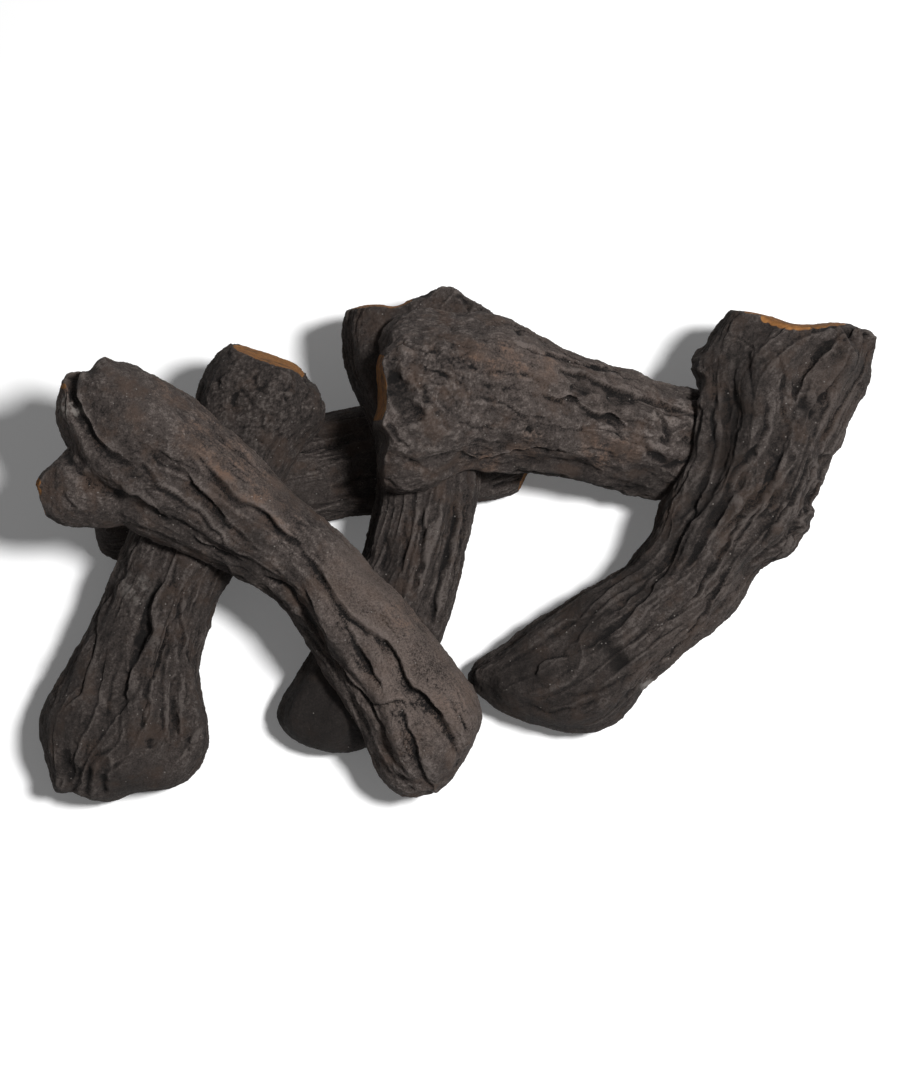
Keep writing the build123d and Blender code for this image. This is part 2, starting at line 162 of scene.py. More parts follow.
class Lump(Enum):
    """The bark's noises that are alike all ways, each with its cell in mm and its shift."""

    ROUND = (11.0, 3.0)
    PIT = (2.0, 5.0)
    KNOT = (26.0, 13.0)
    CRACK_REACH = (15.0, 29.0)
    CELL = (8.0, 3.0)
    CHIP = (5.5, 61.0)


@dataclass(frozen=True)
class PlateEdge:
    """The cross-section of a bark plate's edge, in widths of its line."""

    wall: Span = (-0.4, 0.5)
    ditch_flat: float = 0.25
    ditch_reach: float = 1.3
    lip_share: float = 0.7
    lip_from: float = 0.5
    lip_reach: float = 2.0
    lip_power: float = 1.5

    def share(self, across: np.ndarray) -> np.ndarray:
        """How high the edge stands, as a share of its mark's height.

        Args:
            across: How far each point is from the line, positive on the raised side.

        Returns:
            The share at each point, negative in the ditch under the edge.
        """
        up = smooth_step(*self.wall, across)
        ditch = -np.exp(-np.maximum(-across - self.ditch_flat, 0) / self.ditch_reach)
        past = np.maximum(across - self.lip_from, 0) / self.lip_reach
        lip = self.lip_share * np.exp(-(past**self.lip_power))
        return ditch * (1 - up) + lip * up


@dataclass(frozen=True)
class Mark:
    """A groove, crack, ridge or plate edge in the bark, drawn through the picture's pixels.

    The fields from crack_power on are alike for every mark: how sharp a crack is, over what
    share of its length a mark fades at each end, how much is left of it there, and how many
    widths away it still reaches and is looked for.
    """

    form: Form
    line: tuple[Pixel, ...]
    width_mm: float
    height_mm: float
    raised: Raised = Raised.LEFT
    crack_power: float = 1.3
    fade_share: float = 0.18
    end_share: float = 0.15
    reach: float = 8.0
    search: float = 9.0

    def section(self, away: np.ndarray, side: np.ndarray) -> np.ndarray:
        """The mark's cross-section, as a share of its height.

        Args:
            away: How far each point is from the line, in widths of it.
            side: Its side of the line, 1 for left and -1 for right.

        Returns:
            The share at each point, negative where the surface sinks.
        """
        if self.form is Form.PLATE:
            return PlateEdge().share(away * side * self.raised.value)
        if self.form is Form.CRACK:
            return -np.exp(-(away**self.crack_power))
        if self.form is Form.GROOVE:
            return -np.exp(-(away**2))
        return np.exp(-(away**2))

    def heights(self, pixels: np.ndarray, size: np.ndarray) -> tuple[np.ndarray, np.ndarray]:
        """How far the mark raises or sinks the points near it.

        Args:
            pixels: The pixel of each point.
            size: The size of a pixel at each point, in metres.

        Returns:
            Which points are near, and the height at each of those, in metres.
        """
        line = smooth_line(self.line)
        margin = self.search * self.width_mm * MM / size.mean()
        low, high = line.min(axis=0) - margin, line.max(axis=0) + margin
        near = np.all((pixels > low) & (pixels < high), axis=1)
        apart, side, place = beside_line(pixels[near], line)
        apart = apart * size[near]
        fade = (0.0, self.fade_share)
        ends = smooth_step(*fade, place) * smooth_step(*fade, 1 - place)
        ends = self.end_share + (1 - self.end_share) * ends
        close = np.exp(-((apart / (self.reach * self.width_mm * MM)) ** 4))
        shape = self.section(apart / (self.width_mm * MM), side)
        return near, shape * ends * close * self.height_mm * MM


@dataclass(frozen=True)
class Pull:
    """A local pull on a log's outline, from one pixel of the picture to another."""

    start: Pixel
    end: Pixel
    reach_mm: float


@dataclass(frozen=True)
class Patch:
    """A spot of one stain, or of another ground, at a pixel of the picture."""

    kind: Stain | Ground
    at: Pixel
    radius_mm: float
    strength: float


@dataclass(frozen=True)
class Bark:
    """How deep and how long the cast bark's own texture is on one log."""

    seed: int
    tone: float = 1.0
    ridge_mm: float = 0.9
    crevice_mm: float = 1.3
    crest_mm: float = 0.5
    crack_mm: float = 0.8
    flake_mm: float = 1.0
    flake_count: float = 3.0
    lump_mm: float = 0.7
    pit_mm: float = 0.35
    along_mm: float = 46.0
    round_mm: float = 8.0
    wander: float = 0.22


@dataclass(frozen=True)
class Texture:
    """How the bark's noises are put together, alike on every log."""

    sway: float = 5.0
    sway_up: float = 0.6
    fold_cells: tuple[float, float, float] = (0.8, 0.62, 0.62)
    fold_shift: float = 31.0
    crevice_width: float = 0.12
    crevice_power: float = 1.2
    crevice_reach: Span = (0.0, 0.35)
    crest_sway: float = 1.5
    crest_wobble: float = 0.25
    crest_width: float = 0.34
    crest_reach: Span = (-0.2, 0.4)
    flake_drift: float = 1.3
    flake_rags: float = 0.16
    flake_wall: Span = (0.0, 0.16)
    flake_middle: float = 0.42
    flake_least: float = 0.25
    flake_reach: Span = (-0.5, 0.4)
    knot_reach: Span = (0.1, 0.5)
    knot_share: float = 0.3
    crack_reach: Span = (-0.25, 0.35)
    crease_width: float = 0.2
    crease_share: float = 0.15
    pitted_crease_mm: float = 0.6
    chip_gain: float = 0.6
    chip_mm: float = 0.3
    pitted_chip_mm: float = 1.3
    worn_chips: float = 0.6
    worn_lumps: float = 0.5
    pitted_lumps: float = 0.4
    pit_gain: float = 0.7
    plain_share: float = 0.85


@dataclass(frozen=True)
class Shade:
    """How the relief that the finish reads is measured from the surface; the finish paints shade where
    it is low and in creases, and highlight on crests.
    """

    broad_rounds: int = 5
    wide_rounds: int = 60
    broad_mm: float = 3.0
    fine_mm: float = 8.0
    curve_rounds: int = 3
    curve_mm: float = 0.35
    # The crest share is painted highlight and the crease share painted shade.
    crest_highlight_share: float = 0.75
    crease_share: float = 0.4
    worn_share: float = 0.8
    middle: float = 0.5
    sawn_span: Span = (0.62, 0.85)


@dataclass(frozen=True)
class PhotoView:
    """The picture's camera: where it stands, and where it sees a point."""

    width_px: float = 900.0
    height_px: float = 1067.0
    elevation_deg: float = 75.0
    distance: float = 1.2
    target: tuple[float, float, float] = (-0.00412, 0.01002, 0.0)
    sensor_mm: float = 36.0
    lens_mm: float = 86.1
    sees_from: float = 0.05
    sees_to: float = 20.0

    @property
    def focal_px(self) -> float:
        """The lens's focal length in pixels of the picture."""
        return self.lens_mm / self.sensor_mm * self.height_px

    @property
    def axes(self) -> tuple[np.ndarray, np.ndarray, np.ndarray]:
        """The camera's right, up and forward directions."""
        e = math.radians(self.elevation_deg)
        right = np.array((1.0, 0.0, 0.0))
        up = np.array((0.0, math.sin(e), math.cos(e)))
        forward = np.array((0.0, math.cos(e), -math.sin(e)))
        return right, up, forward

    @property
    def place(self) -> np.ndarray:
        """Where the camera stands."""
        return np.array(self.target) - self.axes[2] * self.distance

    def pixels(self, points: np.ndarray) -> tuple[np.ndarray, np.ndarray]:
        """Where the picture shows some points.

        Args:
            points: An array of places, one row each.

        Returns:
            The pixel of each point, and the size of a pixel there in metres.
        """
        right, up, forward = self.axes
        away = points - self.place
        depth = away @ forward
        across = self.width_px / 2 + self.focal_px * (away @ right) / depth
        down = self.height_px / 2 - self.focal_px * (away @ up) / depth
        return np.stack((across, down), axis=1), depth / self.focal_px

    def build(self) -> None:
        """Make the camera and make it the scene's own."""
        data = bpy.data.cameras.new("picture_camera")
        data.sensor_fit = "VERTICAL"
        data.sensor_width = self.sensor_mm
        data.sensor_height = self.sensor_mm
        data.lens = self.lens_mm
        data.clip_start = self.sees_from
        data.clip_end = self.sees_to
        camera = bpy.data.objects.new("picture_camera", data)
        bpy.context.scene.collection.objects.link(camera)
        camera.location = Vector(self.place)
        camera.rotation_mode = "QUATERNION"
        camera.rotation_quaternion = Vector(self.axes[2]).to_track_quat("-Z", "Y")
        bpy.context.scene.camera = camera


class Noise:
    """Seeded smooth noise over places in space."""

    SIZE = 256
    SWING = 1.7
    ROUGH_SHIFT = 17.3
    CREASE_SHIFT = 23.7
    CREASE_GAIN = 0.6
    CREASE_FINER = 2.1
    CREASE_POWER = 1.5

    def __init__(self, seed: int) -> None:
        """Draw the noise's lattice.

        Args:
            seed: The seed of the random lattice.
        """
        random = np.random.default_rng(seed)
        self.order = random.permutation(self.SIZE)
        slopes = random.normal(size=(self.SIZE, 3))
        self.slopes = slopes / np.linalg.norm(slopes, axis=1)[:, None]

    def at(self, points: np.ndarray) -> np.ndarray:
        """Gradient noise, about -1 to 1, with cells one unit wide.

        Args:
            points: An array of places, one row each.

        Returns:
            The noise at each place.
        """
        cell = np.floor(points).astype(int)
        part = points - cell
        ease = part * part * part * (part * (part * 6 - 15) + 10)
        total = np.zeros(len(points))
        for corner in range(8):
            step = np.array((corner & 1, corner >> 1 & 1, corner >> 2 & 1))
            spot = (cell + step) % self.SIZE
            index = self.order[spot[:, 0]]
            index = self.order[(index + spot[:, 1]) % self.SIZE]
            index = self.order[(index + spot[:, 2]) % self.SIZE]
            slope = np.einsum("ij,ij->i", self.slopes[index], part - step)
            weight = np.where(step, ease, 1 - ease).prod(axis=1)
            total += weight * slope
        return total * self.SWING

    def layered(
        self, sample: Callable[[np.ndarray], np.ndarray], points: np.ndarray, octaves: int,
        gain: float, finer: float, shift: float,
    ) -> np.ndarray:
        """Add finer and weaker layers of a noise to it.

        Args:
            sample: The noise of one layer.
            points: An array of places, one row each.
            octaves: How many layers.
            gain: How strong each layer is beside the last.
            finer: How much finer each layer is than the last.
            shift: How far apart the layers' places are.

        Returns:
            The sum at each place, no stronger than one layer.
        """
        total = np.zeros(len(points))
        strength, scale, whole = 1.0, 1.0, 0.0
        for layer in range(octaves):
            total += strength * sample(points * scale + shift * layer)
            whole += strength
            strength *= gain
            scale *= finer
        return total / whole

    def rough(self, points: np.ndarray, octaves: int = 2, gain: float = 0.5) -> np.ndarray:
        """Noise with finer noise added to it, each layer twice as fine as the last."""
        return self.layered(self.at, points, octaves, gain, 2.0, self.ROUGH_SHIFT)

    def creases(self, points: np.ndarray, octaves: int = 2, width: float = 0.3) -> np.ndarray:
        """Sharp creases that wind between rounded cells.

        Args:
            points: An array of places, one row each.
            octaves: How many layers.
            width: How wide the creases are beside the cells.

        Returns:
            How deep in a crease each place is, from 0 to about 1.
        """

        def crease(places: np.ndarray) -> np.ndarray:
            """How deep in one layer's creases some places are."""
            return np.clip(1 - np.abs(self.at(places)) / width, 0, 1) ** self.CREASE_POWER

        gain, finer, shift = self.CREASE_GAIN, self.CREASE_FINER, self.CREASE_SHIFT
        return self.layered(crease, points, octaves, gain, finer, shift)


def smooth_step(low: float, high: float, value: np.ndarray) -> np.ndarray:
    """Ease from 0 at low to 1 at high."""
    part = np.clip((value - low) / (high - low), 0.0, 1.0)
    return part * part * (3 - 2 * part)


def smooth_line(line: tuple[Pixel, ...], steps: int = 5) -> np.ndarray:
    """Round a drawn line off with a curve through its points.

    Args:
        line: The points that the curve goes through.
        steps: How many pieces each stretch is divided into.

    Returns:
        The curve's points, one row each.
    """
    knots = np.array(line, float)
    if len(knots) < 3:
        return knots
    ends = np.vstack((2 * knots[0] - knots[1], knots, 2 * knots[-1] - knots[-2]))
    rows = []
    for a, b, c, d in zip(ends, ends[1:], ends[2:], ends[3:]):
        for k in range(steps):
            t = k / steps
            rows.append(
                0.5 * (2 * b + (c - a) * t + (2 * a - 5 * b + 4 * c - d) * t * t)
                + 0.5 * (3 * b - a - 3 * c + d) * t * t * t
            )
    rows.append(knots[-1])
    return np.array(rows)


def beside_line(
    pixels: np.ndarray, line: np.ndarray
) -> tuple[np.ndarray, np.ndarray, np.ndarray]:
    """Where some pixels are beside a line.

    Args:
        pixels: The pixels, one row each.
        line: The line's points, one row each.

    Returns:
        How far each pixel is from the line, its side of it (1 for left and -1 for right),
        and how far along the line it is, from 0 to 1.
    """
    apart = np.full(len(pixels), np.inf)
    side = np.zeros(len(pixels))
    place = np.zeros(len(pixels))
    for k, (a, b) in enumerate(zip(line, line[1:])):
        run = b - a
        away = pixels - a
        t = np.clip(away @ run / (run @ run), 0.0, 1.0)
        gap = np.linalg.norm(away - t[:, None] * run, axis=1)
        closer = gap < apart
        apart = np.where(closer, gap, apart)
        turn = run[0] * away[:, 1] - run[1] * away[:, 0]
        side = np.where(closer, -np.sign(turn), side)
        place = np.where(closer, (k + t) / (len(line) - 1), place)
    return apart, side, place


class Skin:
    """A log's surface as arrays: its points, their normals and the edges between them."""

    def __init__(self, mesh: bpy.types.Mesh) -> None:
        """Read a mesh.

        Args:
            mesh: The mesh to work on.
        """
        self.mesh = mesh
        count = len(mesh.vertices)
        self.points = np.empty(count * 3)
        mesh.vertices.foreach_get("co", self.points)
        self.points = self.points.reshape(-1, 3)
        pairs = np.empty(len(mesh.edges) * 2, np.int64)
        mesh.edges.foreach_get("vertices", pairs)
        self.pairs = pairs.reshape(-1, 2)
        self.degree = np.bincount(self.pairs.ravel(), minlength=count).astype(float)
        self.normals = np.empty_like(self.points)
        self.refresh()

    def refresh(self) -> None:
        """Write the points to the mesh and read its normals again."""
        self.mesh.vertices.foreach_set("co", self.points.ravel())
        self.mesh.update()
        flat = np.empty(len(self.points) * 3)
        self.mesh.vertices.foreach_get("normal", flat)
        self.normals = flat.reshape(-1, 3)

    def spread(self, values: np.ndarray, rounds: int) -> np.ndarray:
        """Average values with their neighbours' a few times.

        Args:
            values: One value for each point.
            rounds: How many times.

        Returns:
            The smoothed values.
        """
        a, b = self.pairs[:, 0], self.pairs[:, 1]
        count = len(self.points)
        for _ in range(rounds):
            near = np.bincount(a, values[b], count) + np.bincount(b, values[a], count)
            values = 0.5 * values + 0.5 * near / self.degree
        return values

    def spread_points(self, rounds: int) -> np.ndarray:
        """The points' places, averaged with their neighbours' a few times."""
        return np.stack([self.spread(values, rounds) for values in self.points.T], axis=1)

    def soften(self, rounds: int, share: np.ndarray) -> None:
        """Smooth the surface's shape, more where the share is larger.

        Args:
            rounds: How many times each point moves towards its neighbours.
            share: How much of the move each point takes.
        """
        self.points += (self.spread_points(rounds) - self.points) * share[:, None]
        self.refresh()

    def raise_by(self, height: np.ndarray) -> None:
        """Move every point out along its normal, by metres, and inwards where negative."""
        self.points += self.normals * height[:, None]
        self.refresh()

    def keep_inside(self, low: np.ndarray, high: np.ndarray) -> None:
        """Keep every point between two corners of a box."""
        self.points = np.clip(self.points, low, high)
        self.refresh()

    def curve(self, rounds: int, full_mm: float) -> np.ndarray:
        """How far each point stands out of its neighbours.

        Args:
            rounds: How wide the neighbourhood is.
            full_mm: How far out counts as 1.

        Returns:
            The share at each point, from -1 in a crease to 1 on a crest.
        """
        away = self.points - self.spread_points(rounds)
        out = np.einsum("ij,ij->i", away, self.normals)
        return np.clip(out / (full_mm * MM), -1.0, 1.0)

    def stain(self, stain: Stain, values: np.ndarray) -> None:
        """Keep one value for each point on the mesh, for the finish to read."""
        layer = self.mesh.attributes.new(stain.value, "FLOAT", "POINT")
        layer.data.foreach_set("value", values.astype(np.float32))


class Grain:
    """A log's own coordinates, measured from its shape: along it, across it and up it."""

    SLICES = 48
    EVENED = 5
    LEAST_HALF = 12 * MM
    LEAST_RISE = 10 * MM
    GIRTH_MM = 26.0
    ENDWISE: Span = (0.5, 0.85)

    def __init__(self, points: np.ndarray, normals: np.ndarray, heading_deg: float) -> None:
        """Measure a log.

        Args:
            points: The log's surface points.
            normals: Their outward directions.
            heading_deg: The way from its foot to its head in plan, from +X towards +Y.
        """
        turn = math.radians(heading_deg)
        ahead = np.array((math.cos(turn), math.sin(turn), 0.0))
        aside = np.array((-math.sin(turn), math.cos(turn), 0.0))
        along = points @ ahead
        across = points @ aside
        height = points[:, 2]
        stations = np.linspace(along.min(), along.max(), self.SLICES)
        slot = np.searchsorted(stations, along).clip(1, self.SLICES - 1)
        rows = []
        for k in range(1, self.SLICES):
            here = slot == k
            left, right = across[here].max(), across[here].min()
            crown, sole = height[here].max(), height[here].min()
            rows.append(
                ((left + right) / 2, (left - right) / 2, (crown + sole) / 2, (crown - sole) / 2)
            )
        centres = (stations[1:] + stations[:-1]) / 2
        kernel = np.ones(self.EVENED) / self.EVENED
        middle, half, level, rise = (
            np.interp(along, centres, np.convolve(np.pad(v, self.EVENED // 2, "edge"), kernel, "valid"))
            for v in np.array(rows).T
        )
        self.along = along - along.min()
        self.across = (across - middle) / np.maximum(half, self.LEAST_HALF)
        self.up = (height - level) / np.maximum(rise, self.LEAST_RISE)
        self.endwise = smooth_step(*self.ENDWISE, np.abs(normals @ ahead))

    def cells(self, along_mm: float, round_mm: float) -> np.ndarray:
        """Places for noise that is stretched along the log.

        Args:
            along_mm: The noise's cell along the log.
            round_mm: Its cell round the log.

        Returns:
            One place for each point.
        """
        across = self.across * self.GIRTH_MM / round_mm
        up = self.up * self.GIRTH_MM / round_mm
        return np.stack((self.along / MM / along_mm, across, up), axis=1)

    def layer(self, layer: Layer) -> np.ndarray:
        """Places for one of the bark's noises."""
        along_mm, round_mm, shift = layer.value
        return self.cells(along_mm, round_mm) + shift


@dataclass
class LogPiece:
    """One moulded log: its CAD node's form, with its bark, its marks and its finish.

    The headings and rises in sawn say which way each sawn end faces, in degrees. The fields
    from quick_voxels on are alike for every log.
    """

    node: str
    body: str
    heading_deg: float
    bark: Bark
    marks: tuple[Mark, ...] = ()
    pulls: tuple[Pull, ...] = ()
    patches: tuple[Patch, ...] = ()
    sawn: tuple[tuple[float, float], ...] = ()
    voxel_mm: float = 0.66
    quick_voxels: float = 2.0
    weld_mm: float = 0.01
    sawn_alike: tuple[float, ...] = (0.93, 0.985, 0.995)
    sawn_search_mm: float = 8.0
    sawn_flat_mm: float = 0.6
    sawn_rounds: int = 2
    sawn_stiffness: float = 0.6
    soften_rounds: int = 3
    flat_rounds: int = 4
    under: Span = (0.25, 0.8)
    under_share: float = 0.6
    wobble_seed: int = 5
    wobble_shift: float = 9.0
    wobble_px: float = 2.2
    wobble_cells: float = 160.0
    facing: Span = (0.02, 0.3)
    room_mm: float = 4.0
    room_rounds: int = 2
    touching: Span = (0.15, 1.0)
    texture: Texture = Texture()
    shade: Shade = Shade()
    skin: Skin = field(init=False)
    piece: bpy.types.Object = field(init=False)

    def copy_form(self, source: bpy.types.Object) -> None:
        """Copy the CAD node's mesh, close it and give it an even, fine surface.

        Args:
            source: The CAD node.
        """
        mesh = source.data.copy()
        mesh.materials.clear()
        work = bmesh.new()
        work.from_mesh(mesh)
        bmesh.ops.remove_doubles(work, verts=work.verts, dist=self.weld_mm * MM)
        work.to_mesh(mesh)
        work.free()
        coarse = bpy.data.objects.new(f"{self.node}_form", mesh)
        bpy.context.scene.collection.objects.link(coarse)
        remesh = coarse.modifiers.new("even", "REMESH")
        remesh.mode = "VOXEL"
        remesh.voxel_size = self.voxel_mm * MM * 1.0
        graph = bpy.context.evaluated_depsgraph_get()
        fine = bpy.data.meshes.new_from_object(coarse.evaluated_get(graph))
        bpy.data.objects.remove(coarse)
        bpy.data.meshes.remove(mesh)
        fine.name = f"{self.node}_bark"
        self.piece = bpy.data.objects.new(f"{self.node}_bark", fine)
        bpy.context.scene.collection.objects.link(self.piece)
        self.skin = Skin(fine)

    def find_sawn(self) -> np.ndarray:
        """Find the flat sawn ends.

        Returns:
            For each point, 1 on a sawn face and 0 elsewhere.
        """
        points, normals = self.skin.points, self.skin.normals
        found = np.zeros(len(points))
        for heading, rise in self.sawn:
            turn, lift = math.radians(heading), math.radians(rise)
            outward = np.array(
                (math.cos(lift) * math.cos(turn), math.cos(lift) * math.sin(turn), math.sin(lift))
            )
            for closeness in self.sawn_alike:
                depth = points @ outward
                alike = normals @ outward > closeness
                alike &= depth > depth.max() - self.sawn_search_mm * MM
                outward = normals[alike].mean(axis=0)
                outward /= np.linalg.norm(outward)
            depth = points @ outward
            level = np.median(depth[alike])
            flat = np.abs(depth - level) < self.sawn_flat_mm * MM
            found = np.maximum(found, flat & alike)
        return found

    def spots(self, view: PhotoView, kind: Stain | Ground, seen_only: bool = False) -> np.ndarray:
        """How strong the patches of one kind are at each point.

        Args:
            view: The picture's camera.
            kind: The stain or the ground.
            seen_only: Whether only the side that the picture shows takes them.

        Returns:
            The strength at each point, from 0.
        """
        pixels, size = view.pixels(self.skin.points)
        total = np.zeros(len(self.skin.points))
        for patch in self.patches:
            if patch.kind is kind:
                apart = np.linalg.norm(pixels - np.array(patch.at), axis=1) * size
                spot = np.exp(-((apart / (patch.radius_mm * MM)) ** 4)) * patch.strength
                total = np.maximum(total, spot)
        if seen_only:
            total *= -(self.skin.normals @ view.axes[2]) > 0
        return total

    def shift_outline(self, view: PhotoView, rise: np.ndarray) -> None:
        """Pull the outline towards the picture's.

        Args:
            view: The picture's camera.
            rise: For each point, how much of an outward move it may take.
        """
        right, up, _ = view.axes
        for pull in self.pulls:
            pixels, size = view.pixels(self.skin.points)
            apart = np.linalg.norm(pixels - np.array(pull.start), axis=1) * size
            weight = np.exp(-((apart / (pull.reach_mm * MM)) ** 2)) * rise
            across = (pull.end[0] - pull.start[0]) * size * weight
            down = (pull.end[1] - pull.start[1]) * size * weight
            self.skin.points += across[:, None] * right - down[:, None] * up
        self.skin.refresh()

    def mark_heights(self, view: PhotoView) -> np.ndarray:
        """How far the drawn marks raise or sink each point.

        Args:
            view: The picture's camera.

        Returns:
            The height of each point over the plain surface, in metres.
        """
        pixels, size = view.pixels(self.skin.points)
        wobble = Noise(self.bark.seed + self.wobble_seed)
        places = self.skin.points * self.wobble_cells
        moves = (wobble.at(places), wobble.at(places + self.wobble_shift))
        pixels = pixels + self.wobble_px * np.stack(moves, axis=1)
        total = np.zeros(len(self.skin.points))
        for mark in self.marks:
            near, heights = mark.heights(pixels, size)
            total[near] += heights
        return total * smooth_step(*self.facing, -(self.skin.normals @ view.axes[2]))

    def lump(self, lump: Lump) -> np.ndarray:
        """Places for one of the bark's noises that are alike all ways."""
        size_mm, shift = lump.value
        return self.skin.points / MM / size_mm + shift

    def ridge_heights(self, grain: Grain, noise: Noise) -> np.ndarray:
        """The bark's long ridges, with the crevices and the sharp crests between them.

        Args:
            grain: The log's own coordinates.
            noise: The log's noise.

        Returns:
            The height of each point, in millimetres.
        """
        bark, texture = self.bark, self.texture
        sway = bark.wander * texture.sway * noise.rough(grain.layer(Layer.SWAY))
        long_cells = grain.cells(bark.along_mm, bark.round_mm)
        long_cells[:, 1] += sway
        long_cells[:, 2] += texture.sway_up * sway
        ridges = noise.rough(long_cells)
        folds = noise.at(long_cells * texture.fold_cells + texture.fold_shift)
        crevices = np.clip(1 - np.abs(folds) / texture.crevice_width, 0, 1) ** texture.crevice_power
        reach = noise.at(grain.layer(Layer.CREVICE_REACH))
        crevices *= smooth_step(*texture.crevice_reach, reach)
        crest_cells = grain.layer(Layer.CREST)
        wobble = texture.crest_wobble * noise.at(grain.layer(Layer.CREST_WOBBLE))
        crest_cells[:, 1] += texture.crest_sway * sway + wobble
        crests = np.clip(1 - np.abs(noise.at(crest_cells)) / texture.crest_width, 0, 1)
        crests *= smooth_step(*texture.crest_reach, noise.at(grain.layer(Layer.CREST_REACH)))
        return bark.ridge_mm * ridges - bark.crevice_mm * crevices + bark.crest_mm * crests

    def flake_heights(self, grain: Grain, noise: Noise) -> np.ndarray:
        """Long overlapping flakes, steep on one side and easy on the other.

        Args:
            grain: The log's own coordinates.
            noise: The log's noise.

        Returns:
            The flakes' height at each point, about -0.5 to 0.5.
        """
        texture = self.texture
        drift = texture.flake_drift * noise.rough(grain.layer(Layer.FLAKE_DRIFT))
        ragged = texture.flake_rags * noise.rough(grain.layer(Layer.FLAKE_RAGS))
        phase = -self.bark.flake_count * grain.across + drift + ragged
        part = phase - np.floor(phase)
        wall = smooth_step(*texture.flake_wall, part)
        size = smooth_step(*texture.flake_reach, noise.at(grain.layer(Layer.FLAKE_SIZE)))
        size = texture.flake_least + (1 - texture.flake_least) * size
        return (wall * (1 - part) - texture.flake_middle) * size

    def bark_heights(
        self, grain: Grain, plain: np.ndarray, smooth: np.ndarray, pitted: np.ndarray
    ) -> np.ndarray:
        """How far the cast bark's own texture raises or sinks each point.

        Args:
            grain: The log's own coordinates.
            plain: For each point, how plain it is, from 0 for full bark to 1.
            smooth: How far it has lost its ridges, from 0 to 1.
            pitted: How far it is pitted all ways instead of ridged, from 0 to 1.

        Returns:
            The height of each point over the plain surface, in metres.
        """
        bark, texture = self.bark, self.texture
        noise = Noise(bark.seed)
        knots = smooth_step(*texture.knot_reach, noise.at(self.lump(Lump.KNOT)))
        flow = 1 - texture.knot_share * knots
        flow *= (1 - grain.endwise) * (1 - pitted) * (1 - smooth)
        height = flow * self.ridge_heights(grain, noise)
        height += flow * bark.flake_mm * self.flake_heights(grain, noise)
        along = noise.creases(grain.layer(Layer.CRACK))
        along *= smooth_step(*texture.crack_reach, noise.at(self.lump(Lump.CRACK_REACH)))
        height -= flow * bark.crack_mm * along
        around = noise.creases(self.lump(Lump.CELL), width=texture.crease_width)
        crease_mm = texture.crease_share * bark.crack_mm * (1 - smooth)
        height -= (crease_mm + texture.pitted_crease_mm * pitted) * around
        chips = noise.rough(self.lump(Lump.CHIP), octaves=3, gain=texture.chip_gain)
        chip_mm = texture.chip_mm + texture.pitted_chip_mm * pitted
        height += chip_mm * (1 - texture.worn_chips * smooth) * chips
        lumps = noise.rough(self.lump(Lump.ROUND), octaves=3)
        lumps = lumps + noise.rough(grain.layer(Layer.SWELL))
        lumps = bark.lump_mm * lumps * (1 - texture.worn_lumps * smooth)
        height += lumps * (1 + texture.pitted_lumps * pitted)
        height += bark.pit_mm * noise.rough(self.lump(Lump.PIT), gain=texture.pit_gain)
        return height * MM * (1 - texture.plain_share * plain)

    def clear_share(self, others: list[bpy.types.Object]) -> np.ndarray:
        """How much of an outward move each point may take beside the other logs.

        Args:
            others: The other logs' CAD nodes.

        Returns:
            For each point, 0 where it touches another log, and 1 a few millimetres away.
        """
        room = self.room_mm * MM
        points = self.skin.points
        share = np.ones(len(points))
        for other in others:
            low, high = (np.array(corner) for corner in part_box(other.name))
            beside = np.all((points > low - room) & (points < high + room), axis=1)
            tree = surface_tree(other)
            for k in np.flatnonzero(beside):
                _, _, _, gap = tree.find_nearest(Vector(points[k]), room)
                if gap is not None:
                    share[k] = min(share[k], gap / room)
        return smooth_step(*self.touching, self.skin.spread(share, self.room_rounds))

    def build(self, frame: dict, view: PhotoView, cad_box: tuple) -> None:
        """Model the log's surface.

        Args:
            frame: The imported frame.
            view: The picture's camera.
            cad_box: The lowest and highest corner of the whole set, which bound it.
        """
        self.copy_form(frame["nodes"][self.node])
        skin = self.skin
        sawn = self.find_sawn() * (1 - np.clip(self.spots(view, Ground.COVERED), 0, 1))
        stiff = self.sawn_stiffness * skin.spread(sawn, self.sawn_rounds)
        skin.soften(self.soften_rounds, 1 - stiff)
        others = [node for name, node in frame["nodes"].items() if name != self.node]
        rise = self.clear_share(others)
        self.shift_outline(view, rise)
        grain = Grain(skin.points, skin.normals, self.heading_deg)
        under = smooth_step(*self.under, -skin.normals[:, 2])
        flat = skin.spread(sawn, self.flat_rounds)
        plain = np.maximum(self.under_share * under, flat)
        smooth = self.spots(view, Ground.SMOOTH)
        pitted = self.spots(view, Ground.PITTED)
        marks = self.mark_heights(view) * (1 - flat)
        marks = np.where(marks > 0, marks * rise, marks)
        skin.raise_by(marks)
        bark = self.bark_heights(grain, plain, smooth, pitted)
        bark = np.where(bark > 0, bark * rise, bark)
        skin.raise_by(bark)
        skin.keep_inside(*(np.array(corner) for corner in cad_box))
        self.stain_surface(view, marks + bark, sawn)

